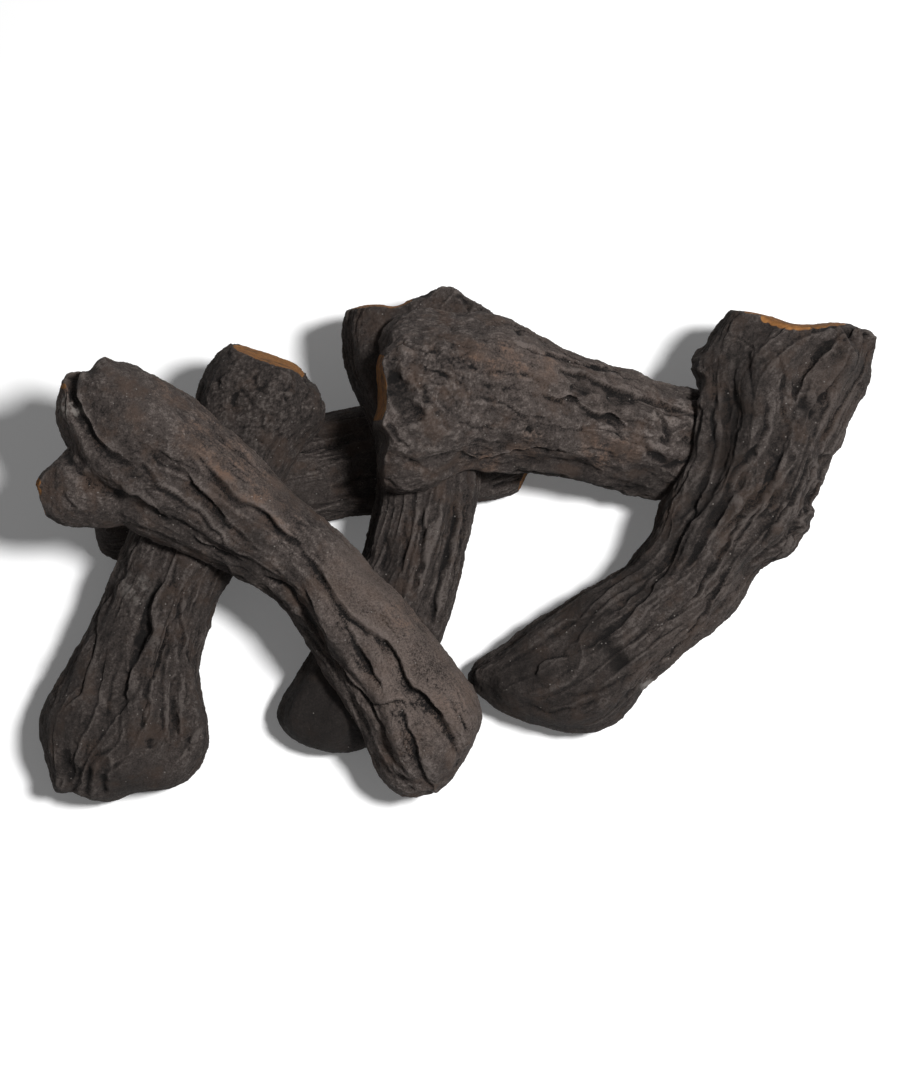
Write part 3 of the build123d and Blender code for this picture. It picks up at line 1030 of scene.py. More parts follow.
    def stain_surface(self, view: PhotoView, height: np.ndarray, sawn: np.ndarray) -> None:
        """Keep what the finish reads: the relief, which it turns into painted shade and painted
        highlight, the sawn ends and the patches.

        Args:
            view: The picture's camera.
            height: How far each point was moved out.
            sawn: For each point, 1 on a sawn face.
        """
        skin, shade = self.skin, self.shade
        broad = skin.spread(height, shade.broad_rounds)
        level = (broad - skin.spread(height, shade.wide_rounds)) / (shade.broad_mm * MM)
        level = level + (height - broad) / (shade.fine_mm * MM)
        curve = skin.curve(shade.curve_rounds, shade.curve_mm)
        # Painted highlight on the crests and painted shade in the creases, by the surface's curve.
        edge = np.where(curve > 0, shade.crest_highlight_share, shade.crease_share) * curve
        smooth = np.clip(self.spots(view, Ground.SMOOTH), 0, 1)
        relief = shade.middle + level + edge * (1 - shade.worn_share * smooth)
        skin.stain(Stain.RELIEF, np.clip(relief, 0, 1))
        skin.stain(Stain.TONE, np.full(len(height), self.bark.tone))
        inner = smooth_step(*shade.sawn_span, skin.spread(sawn, self.sawn_rounds))
        skin.stain(Stain.SAWN, np.maximum(inner, self.spots(view, Stain.SAWN, True)))
        rings = np.zeros(len(height))
        if sawn.any():
            heart = skin.points[sawn > 0.5].mean(axis=0)
            rings = np.linalg.norm(skin.points - heart, axis=1)
        skin.stain(Stain.RINGS, rings)
        # The shade stain is painted shade; the pale, dust and rust stains are the finish's own colour.
        for stain in (Stain.PALE, Stain.DUST, Stain.SOOT, Stain.RUST):
            skin.stain(stain, self.spots(view, stain, True))

    def dress(self, material: bpy.types.Material) -> None:
        """Give the log its finish and its place in the frame.

        Args:
            material: The charred ceramic.
        """
        mesh = self.skin.mesh
        mesh.materials.clear()
        mesh.materials.append(material)
        mesh.polygons.foreach_set("use_smooth", np.ones(len(mesh.polygons), bool))
        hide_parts(self.node)
        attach(self.piece, self.body)
        LOG.info("%s: %d points", self.piece.name, len(mesh.vertices))


def surface_tree(obj: bpy.types.Object) -> BVHTree:
    """A search tree over a CAD node's surface."""
    work = bmesh.new()
    work.from_mesh(obj.data)
    tree = BVHTree.FromBMesh(work)
    work.free()
    return tree


@dataclass(frozen=True)
class Cloud:
    """A noise of the finish: cells to a metre, finer layers, and how strong these are."""

    cells: float
    layers: float
    rough: float


class NodeSheet:
    """A short way to lay out the nodes of a material or a world and join them."""

    def __init__(self, owner: bpy.types.Material | bpy.types.World) -> None:
        """Start with no nodes.

        Args:
            owner: The material or the world.
        """
        owner.use_nodes = True
        self.nodes = owner.node_tree.nodes
        self.links = owner.node_tree.links
        self.nodes.clear()

    def fill(self, socket: Socket, value: object) -> None:
        """Set an input socket to a value, or join it to an output socket."""
        if isinstance(value, Socket):
            self.links.new(value, socket)
        elif socket.type == "RGBA":
            socket.default_value = (*value, 1.0)
        else:
            socket.default_value = value

    def add(self, kind: str, values: dict | None = None, **settings: object) -> bpy.types.Node:
        """Add a node.

        Args:
            kind: The node's type.
            values: What its input sockets are set to or joined to, by name or number.
            settings: The node's own settings.

        Returns:
            The new node.
        """
        node = self.nodes.new(kind)
        for name, value in settings.items():
            setattr(node, name, value)
        for key, value in (values or {}).items():
            self.fill(node.inputs[key], value)
        return node

    def read(self, stain: Stain) -> Socket:
        """The value of one of the surface's attributes."""
        return self.add("ShaderNodeAttribute", attribute_name=stain.value).outputs["Fac"]

    def place(self) -> Socket:
        """The place on the object."""
        return self.add("ShaderNodeTexCoord").outputs["Object"]

    def noise(self, cloud: Cloud) -> Socket:
        """One of the finish's noises, 0 to 1."""
        cells = {"Scale": cloud.cells, "Detail": cloud.layers, "Roughness": cloud.rough}
        return self.add("ShaderNodeTexNoise", {"Vector": self.place(), **cells}).outputs["Fac"]

    def math(self, what: str, a: object, b: object = 0.0) -> Socket:
        """A sum on one or two values."""
        return self.add("ShaderNodeMath", {0: a, 1: b}, operation=what).outputs[0]

    def plus(self, a: object, b: object) -> Socket:
        """One value added to another."""
        return self.math("ADD", a, b)

    def times(self, a: object, b: object) -> Socket:
        """One value times another."""
        return self.math("MULTIPLY", a, b)

    def more(self, a: object, b: object) -> Socket:
        """The larger of two values."""
        return self.math("MAXIMUM", a, b)

    def ease(self, value: object, span: Span) -> Socket:
        """Ease from 0 at the span's start to 1 at its end."""
        ends = {"Value": value, "From Min": span[0], "From Max": span[1]}
        node = self.add("ShaderNodeMapRange", ends, interpolation_type="SMOOTHSTEP")
        return node.outputs["Result"]

    def mix(self, share: object, a: object, b: object) -> Socket:
        """Blend two colours.

        Args:
            share: How much of the second shows.
            a: The first colour or socket.
            b: The second colour or socket.

        Returns:
            The blended colour's socket.
        """
        node = self.add("ShaderNodeMix", data_type="RGBA")
        colours = [socket for socket in node.inputs if socket.type == "RGBA"]
        for socket, value in zip((node.inputs["Factor"], *colours), (share, a, b)):
            self.fill(socket, value)
        return next(socket for socket in node.outputs if socket.type == "RGBA")

    def bump(
        self, height: Socket, share: float, distance: float, under: Socket | None = None
    ) -> Socket:
        """A bump by a height, laid over another bump where there is one."""
        values = {"Height": height, "Strength": share, "Distance": distance}
        if under:
            values["Normal"] = under
        return self.add("ShaderNodeBump", values).outputs[0]

    def seen(self) -> Socket:
        """1 where the camera sees it, straight or in gloss or glass, and 0 where it lights."""
        path = self.add("ShaderNodeLightPath").outputs
        seen = self.more(path["Is Camera Ray"], path["Is Glossy Ray"])
        return self.more(seen, path["Is Transmission Ray"])


@dataclass(frozen=True)
class CharredCeramic:
    """Matt moulded ceramic, painted charred brown, with ochre sawn ends, and with painted shade in its
    hollows and painted highlight on its crests.
    """

    # The darkest colour is painted shade in the hollows and shade patches, and the darker paint of the
    # darker logs.
    dark_paint_and_shade: Colour = (0.0050, 0.0038, 0.0034)
    char: Colour = (0.025, 0.0195, 0.0175)
    taupe: Colour = (0.082, 0.066, 0.059)
    crest_dust_and_highlight: Colour = (0.190, 0.160, 0.145)
    brown: Colour = (0.095, 0.062, 0.046)
    umber: Colour = (0.118, 0.090, 0.077)
    sandy: Colour = (0.185, 0.145, 0.126)
    rust: Colour = (0.205, 0.122, 0.082)
    ash: Colour = (0.27, 0.245, 0.225)
    ochre: Colour = (0.46, 0.205, 0.062)
    burnt: Colour = (0.16, 0.068, 0.026)
    roughness: float = 0.92
    gloss: float = 0.22
    broad: Cloud = Cloud(38.0, 3.0, 0.55)
    blotch: Cloud = Cloud(210.0, 3.0, 0.6)
    sand: Cloud = Cloud(1250.0, 3.0, 0.75)
    fine: Cloud = Cloud(2300.0, 3.0, 0.65)
    streak: Cloud = Cloud(70.0, 5.0, 0.65)
    fleck: Cloud = Cloud(150.0, 5.0, 0.7)
    scorch: Cloud = Cloud(85.0, 6.0, 0.75)
    blotch_swing: float = 0.5
    sand_swing: float = 1.5
    broad_swing: float = 0.8
    char_span: Span = (-0.05, 0.25)
    taupe_span: Span = (0.1, 0.7)
    crest_dust_and_highlight_span: Span = (0.6, 1.1)
    streak_span: Span = (0.48, 0.66)
    streak_share: float = 0.6
    dust_span: Span = (0.0, 0.7)
    dust_share: float = 0.85
    sandy_span: Span = (0.32, 0.66)
    rust_span: Span = (0.35, 0.95)
    fleck_span: Span = (0.36, 0.66)
    # How far the painted shade patches darken towards the darkest colour.
    painted_shade_share: float = 0.85
    # Painted glints: rare pale specks all over.
    glint_speck_cells: float = 520.0
    glint_speck_span: Span = (0.22, 0.12)
    glint_speck_rarity: Span = (0.93, 0.94)
    glint_speck_share: float = 0.8
    pale_span: Span = (0.42, 0.56)
    rings_per_metre: float = 2300.0
    ring_bend: float = 22.0
    ring_wobble: float = 5.0
    ring_grain: float = 5.0
    ring_span: Span = (-2.0, 4.6)
    scorch_span: Span = (0.44, 0.68)
    scorch_share: float = 0.8
    sawn_rags: float = 0.5
    sawn_span: Span = (0.62, 0.9)
    sand_bump: float = 0.0015
    fine_bump: float = 0.0006
    fine_share: float = 0.8

    def build(self) -> bpy.types.Material:
        """Lay out the material.

        Returns:
            The finished material.
        """
        material = bpy.data.materials.new("charred_ceramic")
        sheet = NodeSheet(material)
        broad, blotch, sand = (sheet.noise(c) for c in (self.broad, self.blotch, self.sand))
        height = sheet.read(Stain.RELIEF)
        swings = ((blotch, self.blotch_swing), (sand, self.sand_swing), (broad, self.broad_swing))
        for noise, share in swings:
            height = sheet.plus(height, sheet.times(sheet.math("SUBTRACT", noise, 0.5), share))
        colour = self.paint_bark(sheet, height, sand)
        # Ash patches, and pale specks that are painted glints.
        colour = sheet.mix(self.pale_and_glint_share(sheet, blotch), colour, self.ash)
        wood = self.paint_wood(sheet, broad, blotch, sand)
        edge = sheet.plus(sheet.read(Stain.SAWN), sheet.times(blotch, self.sawn_rags))
        colour = sheet.mix(sheet.ease(edge, self.sawn_span), colour, wood)
        bump = sheet.bump(sand, 1.0, self.sand_bump)
        bump = sheet.bump(sheet.noise(self.fine), self.fine_share, self.fine_bump, bump)
        finish = {
            "Base Color": colour,
            "Roughness": self.roughness,
            "Specular IOR Level": self.gloss,
            "Normal": bump,
        }
        shader = sheet.add("ShaderNodeBsdfPrincipled", finish)
        sheet.add("ShaderNodeOutputMaterial", {"Surface": shader.outputs[0]})
        return material

    def paint_bark(self, sheet: NodeSheet, height: Socket, sand: Socket) -> Socket:
        """Colour the bark by its height, darkest low as painted shade and palest high as dust and
        painted highlight, then with dust, rust and painted shade.

        Args:
            sheet: The material's nodes.
            height: The relief with its noise, dark at 0 and pale at 1.
            sand: The sand's noise.

        Returns:
            The colour.
        """
        # Painted shade where the relief is low; high relief turns to a pale colour that is partly dust
        # and partly painted highlight.
        raised = sheet.ease(height, self.char_span)
        colour = sheet.mix(raised, self.dark_paint_and_shade, self.char)
        colour = sheet.mix(sheet.ease(height, self.taupe_span), colour, self.taupe)
        colour = sheet.mix(sheet.ease(height, self.crest_dust_and_highlight_span), colour, self.crest_dust_and_highlight)
        warm = sheet.times(sheet.ease(sheet.noise(self.streak), self.streak_span), self.streak_share)
        colour = sheet.mix(sheet.times(warm, raised), colour, self.brown)
        dust = sheet.times(sheet.read(Stain.DUST), sheet.ease(height, self.dust_span))
        grit = sheet.mix(sheet.ease(sand, self.sandy_span), self.umber, self.sandy)
        colour = sheet.mix(sheet.times(dust, self.dust_share), colour, grit)
        rust = sheet.times(sheet.read(Stain.RUST), sheet.ease(height, self.rust_span))
        flecks = sheet.ease(sheet.noise(self.fleck), self.fleck_span)
        colour = sheet.mix(sheet.times(rust, flecks), colour, self.rust)
        # Painted shade: the shade patches darken the colour.
        painted_shade = sheet.times(sheet.read(Stain.SOOT), self.painted_shade_share)
        colour = sheet.mix(painted_shade, colour, self.dark_paint_and_shade)
        dark = sheet.math("SUBTRACT", 1.0, sheet.read(Stain.TONE))
        return sheet.mix(dark, colour, self.dark_paint_and_shade)

    def pale_and_glint_share(self, sheet: NodeSheet, blotch: Socket) -> Socket:
        """How much ash shows: the pale patches, and a few pale specks all over that are painted glints.

        Args:
            sheet: The material's nodes.
            blotch: The blotches' noise.

        Returns:
            The share, 0 to 1.
        """
        # Painted glints: rare pale specks all over the surface.
        cells = {"Vector": sheet.place(), "Scale": self.glint_speck_cells}
        specks = sheet.add("ShaderNodeTexVoronoi", cells).outputs
        spot = sheet.ease(specks["Distance"], self.glint_speck_span)
        rare = sheet.add("ShaderNodeSeparateColor", {0: specks["Color"]}).outputs[0]
        spot = sheet.times(spot, sheet.ease(rare, self.glint_speck_rarity))
        pale = sheet.times(sheet.read(Stain.PALE), sheet.ease(blotch, self.pale_span))
        return sheet.more(pale, sheet.times(spot, self.glint_speck_share))

    def paint_wood(
        self, sheet: NodeSheet, broad: Socket, blotch: Socket, sand: Socket
    ) -> Socket:
        """Colour a sawn end with warped rings and scorched patches.

        Args:
            sheet: The material's nodes.
            broad: The broad noise.
            blotch: The blotches' noise.
            sand: The sand's noise.

        Returns:
            The colour.
        """
        rings = sheet.times(sheet.read(Stain.RINGS), self.rings_per_metre)
        rings = sheet.plus(rings, sheet.times(broad, self.ring_bend))
        rings = sheet.plus(rings, sheet.times(blotch, self.ring_wobble))
        grained = sheet.plus(sheet.math("SINE", rings), sheet.times(sand, self.ring_grain))
        wood = sheet.mix(sheet.ease(grained, self.ring_span), self.burnt, self.ochre)
        scorched = sheet.ease(sheet.noise(self.scorch), self.scorch_span)
        return sheet.mix(sheet.times(scorched, self.scorch_share), wood, self.char)


@dataclass(frozen=True)
class Studio:
    """A plain pale floor under soft light from high on the right."""

    floor_side: float = 8.0
    floor_white: float = 0.92
    floor_shade: float = 0.31
    floor_drop_mm: float = 0.2
    glow: float = 0.11
    fade: Span = (0.35, 1.6)
    world_strength: float = 0.105
    world_white: float = 1.3
    lamp_watts: float = 29.0
    lamp_side: float = 0.26
    lamp_way: tuple[float, float, float] = (0.42, -0.10, 1.0)
    lamp_distance: float = 1.5

    def build_floor(self) -> None:
        """Make the floor, whose glow fades to white a way off."""
        mesh = bpy.data.meshes.new("studio_floor")
        work = bmesh.new()
        bmesh.ops.create_grid(work, x_segments=1, y_segments=1, size=self.floor_side / 2)
        work.to_mesh(mesh)
        work.free()
        floor = bpy.data.objects.new("studio_floor", mesh)
        bpy.context.scene.collection.objects.link(floor)
        floor.location.z = -self.floor_drop_mm * MM
        material = bpy.data.materials.new("studio_floor")
        mesh.materials.append(material)
        sheet = NodeSheet(material)
        seen = sheet.seen()
        white = sheet.mix(seen, (self.floor_shade,) * 3, (self.floor_white,) * 3)
        paper = sheet.add("ShaderNodeBsdfDiffuse", {"Color": white})
        reach = sheet.add("ShaderNodeVectorMath", {0: sheet.place()}, operation="LENGTH")
        glow = sheet.plus(sheet.ease(reach.outputs["Value"], self.fade), self.glow)
        light = sheet.add("ShaderNodeEmission", {"Strength": sheet.times(seen, glow)})
        both = sheet.add("ShaderNodeAddShader", {0: paper.outputs[0], 1: light.outputs[0]})
        sheet.add("ShaderNodeOutputMaterial", {"Surface": both.outputs[0]})
        floor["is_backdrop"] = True

    def build_lamp(self) -> None:
        """Make the lamp that casts the shadows."""
        data = bpy.data.lights.new("soft_lamp", "AREA")
        data.shape = "DISK"
        data.size = self.lamp_side
        data.energy = self.lamp_watts
        lamp = bpy.data.objects.new("soft_lamp", data)
        bpy.context.scene.collection.objects.link(lamp)
        way = Vector(self.lamp_way).normalized()
        lamp.location = way * self.lamp_distance
        lamp.rotation_mode = "QUATERNION"
        lamp.rotation_quaternion = (-way).to_track_quat("-Z", "Y")

    def build_world(self) -> None:
        """Make the even light from all sides, and the white behind everything."""
        world = bpy.data.worlds.new("studio")
        bpy.context.scene.world = world
        sheet = NodeSheet(world)
        ends = {"To Min": self.world_strength, "To Max": self.world_white}
        strength = sheet.add("ShaderNodeMapRange", {"Value": sheet.seen(), **ends})
        light = sheet.add("ShaderNodeBackground", {"Strength": strength.outputs[0]})
        sheet.add("ShaderNodeOutputWorld", {"Surface": light.outputs[0]})

    def build(self) -> None:
        """Make the whole studio."""
        self.build_floor()
        self.build_lamp()
        self.build_world()
        bpy.context.scene.view_settings.view_transform = "Standard"


def groove(width_mm: float, depth_mm: float, *line: Pixel) -> Mark:
    """A groove through pixels of the picture."""
    return Mark(Form.GROOVE, line, width_mm, depth_mm)


def crack(width_mm: float, depth_mm: float, *line: Pixel) -> Mark:
    """A sharp crack through pixels of the picture."""
    return Mark(Form.CRACK, line, width_mm, depth_mm)


def ridge(width_mm: float, height_mm: float, *line: Pixel) -> Mark:
    """A ridge through pixels of the picture."""
    return Mark(Form.RIDGE, line, width_mm, height_mm)


def plate(width_mm: float, height_mm: float, *line: Pixel, side: Raised = Raised.LEFT) -> Mark:
    """The edge of a bark plate that stands up on one side of the line."""
    return Mark(Form.PLATE, line, width_mm, height_mm, side)


def patches(
    kind: Stain | Ground, *rows: tuple[float, float, float, float]
) -> tuple[Patch, ...]:
    """Patches of one kind: each row is a pixel across and down, a radius in mm and a strength."""
    return tuple(Patch(kind, (x, y), radius_mm, strength) for x, y, radius_mm, strength in rows)


def rear_log() -> LogPiece:
    """The log that lies flat under the others."""
    valleys = (
        groove(2.0, 1.4, (322, 450), (345, 442), (372, 436)),
        groove(1.6, 1.2, (330, 490), (352, 482), (378, 476)),
        groove(1.4, 1.2, (492, 490), (510, 484), (524, 480)),
    )
    return LogPiece(
        node="rear_log",
        body="rear",
        heading_deg=12.0,
        bark=Bark(seed=11, tone=0.72, ridge_mm=0.8, crevice_mm=0.6, lump_mm=0.6, pit_mm=0.25),
        sawn=((-24.0, -1.0),),
        marks=valleys,
    )


def left_log() -> LogPiece:
    """The log at the left, with its foot to the front."""
    flank_plates = (
        plate(
            1.3, 1.4, (128, 547), (123, 574), (111, 593), (101, 612), (97, 630), (95, 650),
            (87, 678), (80, 695), (58, 712),
        ),
        plate(
            2.2, 2.2, (161, 574), (156, 592), (150, 605), (150, 623), (149, 636), (142, 650),
            (133, 664), (128, 681), (126, 695), (128, 709),
        ),
        groove(3.4, 1.8, (147, 618), (143, 636), (138, 650)),
        plate(1.2, 1.2, (163, 576), (158, 594), (153, 607), (153, 624), (152, 638), (144, 653)),
        plate(
            1.2, 1.5, (171, 617), (168, 633), (162, 650), (157, 671), (150, 685), (149, 702),
            (145, 719), (143, 731),
        ),
        groove(1.6, 1.8, (150, 738), (150, 750)),
        plate(1.0, 1.2, (176, 693), (175, 709), (178, 724), (181, 736)),
    )
    edge_nicks = (
        crack(1.0, 1.1, (188, 650), (190, 664)),
        crack(1.0, 1.1, (187, 681), (185, 703)),
        groove(1.2, 1.4, (188, 735), (190, 744), (191, 752)),
        groove(1.0, 1.2, (199, 734), (199, 743)),
    )
    foot_fissures = (
        crack(1.3, 2.2, (89, 765), (87, 780), (85, 797)),
        crack(1.3, 2.0, (105, 773), (104, 785), (104, 797)),
        crack(1.0, 1.4, (74, 768), (76, 782), (73, 793)),
        ridge(1.3, 1.0, (97, 760), (94, 778), (92, 797)),
        ridge(1.2, 0.9, (112, 752), (110, 768), (107, 784)),
        groove(2.2, 2.0, (60, 750), (66, 766), (73, 782)),
    )
    flank_cracks = (
        plate(1.0, 1.0, (185, 590), (180, 612), (186, 634), (180, 655)),
        crack(0.9, 1.0, (118, 660), (110, 690), (106, 720)),
        crack(0.8, 0.9, (166, 700), (163, 728), (168, 748)),
    )
    head_pits = (
        crack(0.8, 0.9, (262, 372), (255, 377), (256, 386), (264, 389)),
        crack(0.8, 0.9, (290, 388), (284, 394), (286, 404)),
        crack(0.8, 0.8, (238, 392), (232, 400), (237, 410)),
        crack(0.8, 0.8, (270, 410), (262, 414), (262, 424), (268, 430)),
        crack(0.8, 0.8, (224, 372), (218, 380), (221, 390)),
        crack(0.8, 0.8, (305, 378), (310, 390), (306, 402)),
        crack(0.8, 0.8, (250, 432), (258, 440), (268, 444)),
    )
    outline = (
        Pull((58, 788), (53, 793), 5.0), Pull((313, 372), (306, 376), 6.0),
    )
    worn = patches(Ground.SMOOTH, (150, 768, 15.0, 0.6))
    pitted = patches(Ground.PITTED, (262, 398, 26.0, 1.0))
    ash = patches(Stain.PALE, (135, 588, 7.0, 0.35))
    # Painted shade on the left flank, which faces away from the lamp, and a painted shadow of the front
    # log on the head.
    painted_shade = patches(
        Stain.SOOT, (143, 640, 4.0, 0.7), (68, 770, 5.0, 0.6), (90, 620, 9.0, 0.45),
        (72, 670, 9.0, 0.45), (62, 725, 8.0, 0.4), (128, 700, 5.0, 0.4), (238, 448, 12.0, 0.3),
    )
    return LogPiece(
        node="left_log",
        body="left",
        heading_deg=71.0,
        voxel_mm=0.755,
        bark=Bark(
            seed=23, tone=0.6, ridge_mm=1.1, crevice_mm=0.8, crest_mm=0.4, lump_mm=0.9, flake_mm=1.5,
            flake_count=3.2, along_mm=50.0, round_mm=7.0,
        ),
        sawn=((69.0, 22.1),),
        marks=flank_plates + edge_nicks + foot_fissures + flank_cracks + head_pits,
        pulls=outline,
        patches=worn + pitted + ash + painted_shade,
    )


def centre_log() -> LogPiece:
    """The log in the middle, under the front and the top log."""
    middle_folds = (
        plate(2.2, 2.4, (458, 492), (455, 533), (446, 565), (437, 592), (433, 628)),
        ridge(2.0, 1.8, (441, 506), (434, 536), (427, 562), (416, 589), (410, 600)),
        plate(1.6, 1.8, (424, 505), (424, 539), (420, 571), (411, 592)),
        crack(1.1, 1.4, (388, 533), (384, 558), (380, 571)),
        ridge(1.8, 1.6, (475, 505), (467, 545), (458, 590), (447, 640)),
        crack(0.9, 1.1, (403, 512), (404, 545), (397, 575)),
        crack(0.8, 0.9, (466, 500), (461, 540), (452, 575)),
    )
    head_grooves = (
        groove(1.6, 1.4, (455, 292), (466, 300), (470, 312)),
        groove(1.2, 1.2, (405, 318), (398, 328), (402, 340)),
    )
    outline = (
        Pull((398, 297), (398, 306), 9.0), Pull((425, 291), (427, 295), 6.0),
        Pull((455, 291), (455, 285), 6.0),
    )
    worn = patches(Ground.SMOOTH, (322, 716, 30.0, 0.85))
    pitted = patches(Ground.PITTED, (420, 330, 28.0, 0.4))
    covered = patches(Ground.COVERED, (430, 290, 8.0, 1.0))
    # Painted shadow: the foot in the front log's shadow and the head in the top log's shadow, and
    # painted shade on the middle.
    painted_shade = patches(Stain.SOOT, (390, 560, 12.0, 0.35), (322, 716, 30.0, 0.85), (352, 370, 14.0, 0.3))
    return LogPiece(
        node="centre_log",
        body="centre",
        heading_deg=76.0,
        voxel_mm=0.73,
        bark=Bark(
            seed=37, tone=0.66, ridge_mm=1.2, crevice_mm=0.7, crest_mm=0.4, flake_mm=1.6,
            flake_count=3.0, along_mm=80.0, round_mm=6.0, wander=0.1,
        ),
        sawn=((104.0, 22.4),),
        marks=middle_folds + head_grooves,
        pulls=outline,
        patches=worn + pitted + covered + painted_shade,
    )


def front_log() -> LogPiece:
    """The log that lies over the left and the centre log, with its sawn-off branch."""
    upper_flakes = (
        plate(
            2.0, 2.6, (203, 461), (212, 472), (223, 484), (231, 492), (242, 501), (252, 505),
            (260, 508), (269, 515), (281, 530), (287, 535), (299, 543),
        ),
        plate(
            1.6, 1.9, (188, 474), (195, 484), (207, 497), (218, 509), (227, 519), (241, 532),
            (254, 545),
        ),
        plate(
            1.4, 1.6, (138, 457), (148, 468), (154, 479), (164, 489), (180, 499), (194, 508),
            (205, 517), (212, 527), (221, 535), (225, 546),
        ),
        plate(1.5, 1.5, (118, 486), (130, 493), (143, 499), (152, 505), (161, 514), (174, 520)),
        plate(1.3, 1.3, (190, 534), (200, 542), (212, 545), (221, 551), (235, 556), (247, 564)),
        plate(
            1.3, 1.4, (215, 559), (227, 567), (235, 576), (246, 584), (256, 588), (264, 593),
            (275, 601), (287, 610), (299, 619),
        ),
    )
    upper_cracks = (
        crack(0.8, 1.0, (264, 576), (277, 582), (290, 593), (299, 601)),
        crack(0.8, 0.9, (148, 447), (154, 457), (164, 465), (174, 469), (182, 474)),
        crack(0.8, 0.9, (158, 450), (166, 456), (177, 461), (187, 463)),
    )
    branch_edges = (
        plate(
            2.0, 2.6, (88, 366), (79, 376), (77, 388), (80, 405), (90, 425), (98, 440), (112, 452),
            (130, 464),
        ),
        groove(2.0, 1.6, (74, 372), (70, 384), (72, 396), (76, 412), (84, 434)),
        groove(2.4, 2.4, (60, 444), (75, 468), (100, 490), (128, 500)),
    )
    lower_flakes = (
        plate(1.0, 1.1, (280, 470), (289, 480), (297, 492)),
        plate(
            2.2, 2.5, (299, 543), (311, 559), (325, 579), (339, 603), (353, 617), (371, 631),
            (389, 644), (398, 656), (404, 674), (410, 686), (422, 694), (434, 706), (444, 720),
            (452, 735), (460, 749), (460, 763),
        ),
        plate(
            1.7, 1.7, (345, 618), (351, 630), (358, 642), (363, 656), (371, 670), (379, 682),
            (387, 698),
        ),
        plate(1.0, 1.0, (362, 697), (377, 702), (389, 702), (400, 700), (412, 700)),
        plate(
            1.9, 2.0, (296, 579), (309, 595), (317, 619), (325, 636), (333, 656), (347, 672),
            (359, 688), (371, 700), (379, 716), (387, 727), (390, 743), (393, 763),
        ),
        plate(1.9, 1.8, (402, 706), (406, 720), (412, 735), (418, 755), (424, 773), (434, 789)),
    )
    foot_hollows = (
        groove(3.4, 1.6, (447, 718), (458, 742), (464, 756), (462, 772)),
        crack(1.1, 1.2, (449, 696), (454, 704), (462, 720), (472, 735)),
        groove(1.8, 1.4, (371, 749), (381, 765), (395, 777), (410, 783), (432, 789)),
    )
    lower_clefts = (
        groove(
            1.4, 1.4, (294, 617), (311, 640), (325, 660), (339, 682), (349, 698), (363, 723),
            (369, 743),
        ),
        crack(1.3, 2.2, (260, 573), (278, 583), (294, 595), (306, 617), (317, 638), (327, 656)),
    )
    head_nick = (
        groove(1.2, 1.0, (60, 494), (68, 500), (78, 512)),
    )
    outline = (
        Pull((88, 364), (88, 370), 3.5), Pull((68, 378), (62, 373), 5.0),
        Pull((100, 362), (103, 357), 4.0),
    )
    worn = patches(
        Ground.SMOOTH, (140, 400, 18.0, 0.55), (360, 580, 14.0, 0.8), (425, 655, 16.0, 0.8),
        (280, 500, 12.0, 0.7),
    )
    pitted = patches(Ground.PITTED, (130, 390, 20.0, 0.35))
    ash = patches(Stain.PALE, (66, 406, 4.5, 1.0), (76, 410, 3.0, 0.9))
    ochre = patches(Stain.SAWN, (63, 386, 1.5, 0.9), (36, 482, 2.4, 1.0), (37, 492, 2.4, 1.0))
    rust = patches(
        Stain.RUST, (62, 430, 2.6, 1.0), (68, 388, 2.6, 1.0), (170, 386, 8.0, 0.6),
        (200, 434, 10.0, 0.7), (228, 462, 10.0, 0.9), (256, 488, 9.0, 0.9), (284, 518, 8.0, 0.7),
        (408, 612, 9.0, 0.7), (455, 690, 10.0, 0.4),
    )
    # Painted shade along the deep grooves and the lower left flank, which faces away from the lamp.
    painted_shade = patches(
        Stain.SOOT, (250, 540, 10.0, 0.5), (215, 515, 9.0, 0.4), (168, 520, 8.0, 0.4),
        (330, 655, 8.0, 0.5), (225, 500, 14.0, 0.2), (290, 590, 13.0, 0.2), (140, 482, 13.0, 0.4),
        (182, 522, 13.0, 0.4), (232, 566, 11.0, 0.5), (270, 608, 10.0, 0.5), (305, 655, 9.0, 0.5),
        (350, 740, 9.0, 0.5), (76, 384, 4.0, 0.8),
    )
    dust = patches(Stain.DUST, (250, 470, 22.0, 0.35), (370, 590, 24.0, 0.8), (430, 670, 34.0, 1.0))
    return LogPiece(
        node="front_log",
        body="front",
        heading_deg=133.9,
        voxel_mm=0.81,
        bark=Bark(
            seed=41, tone=1.0, ridge_mm=0.7, crevice_mm=0.3, crest_mm=0.2, lump_mm=1.1, flake_mm=0.8,
            flake_count=2.4,
        ),
        sawn=((198.0, 4.0),),
        marks=(
            *upper_flakes, *upper_cracks, *branch_edges, *lower_flakes, *foot_hollows, *lower_clefts,
            *head_nick,
        ),
        pulls=outline,
        patches=worn + pitted + ash + ochre + rust + painted_shade + dust,
    )


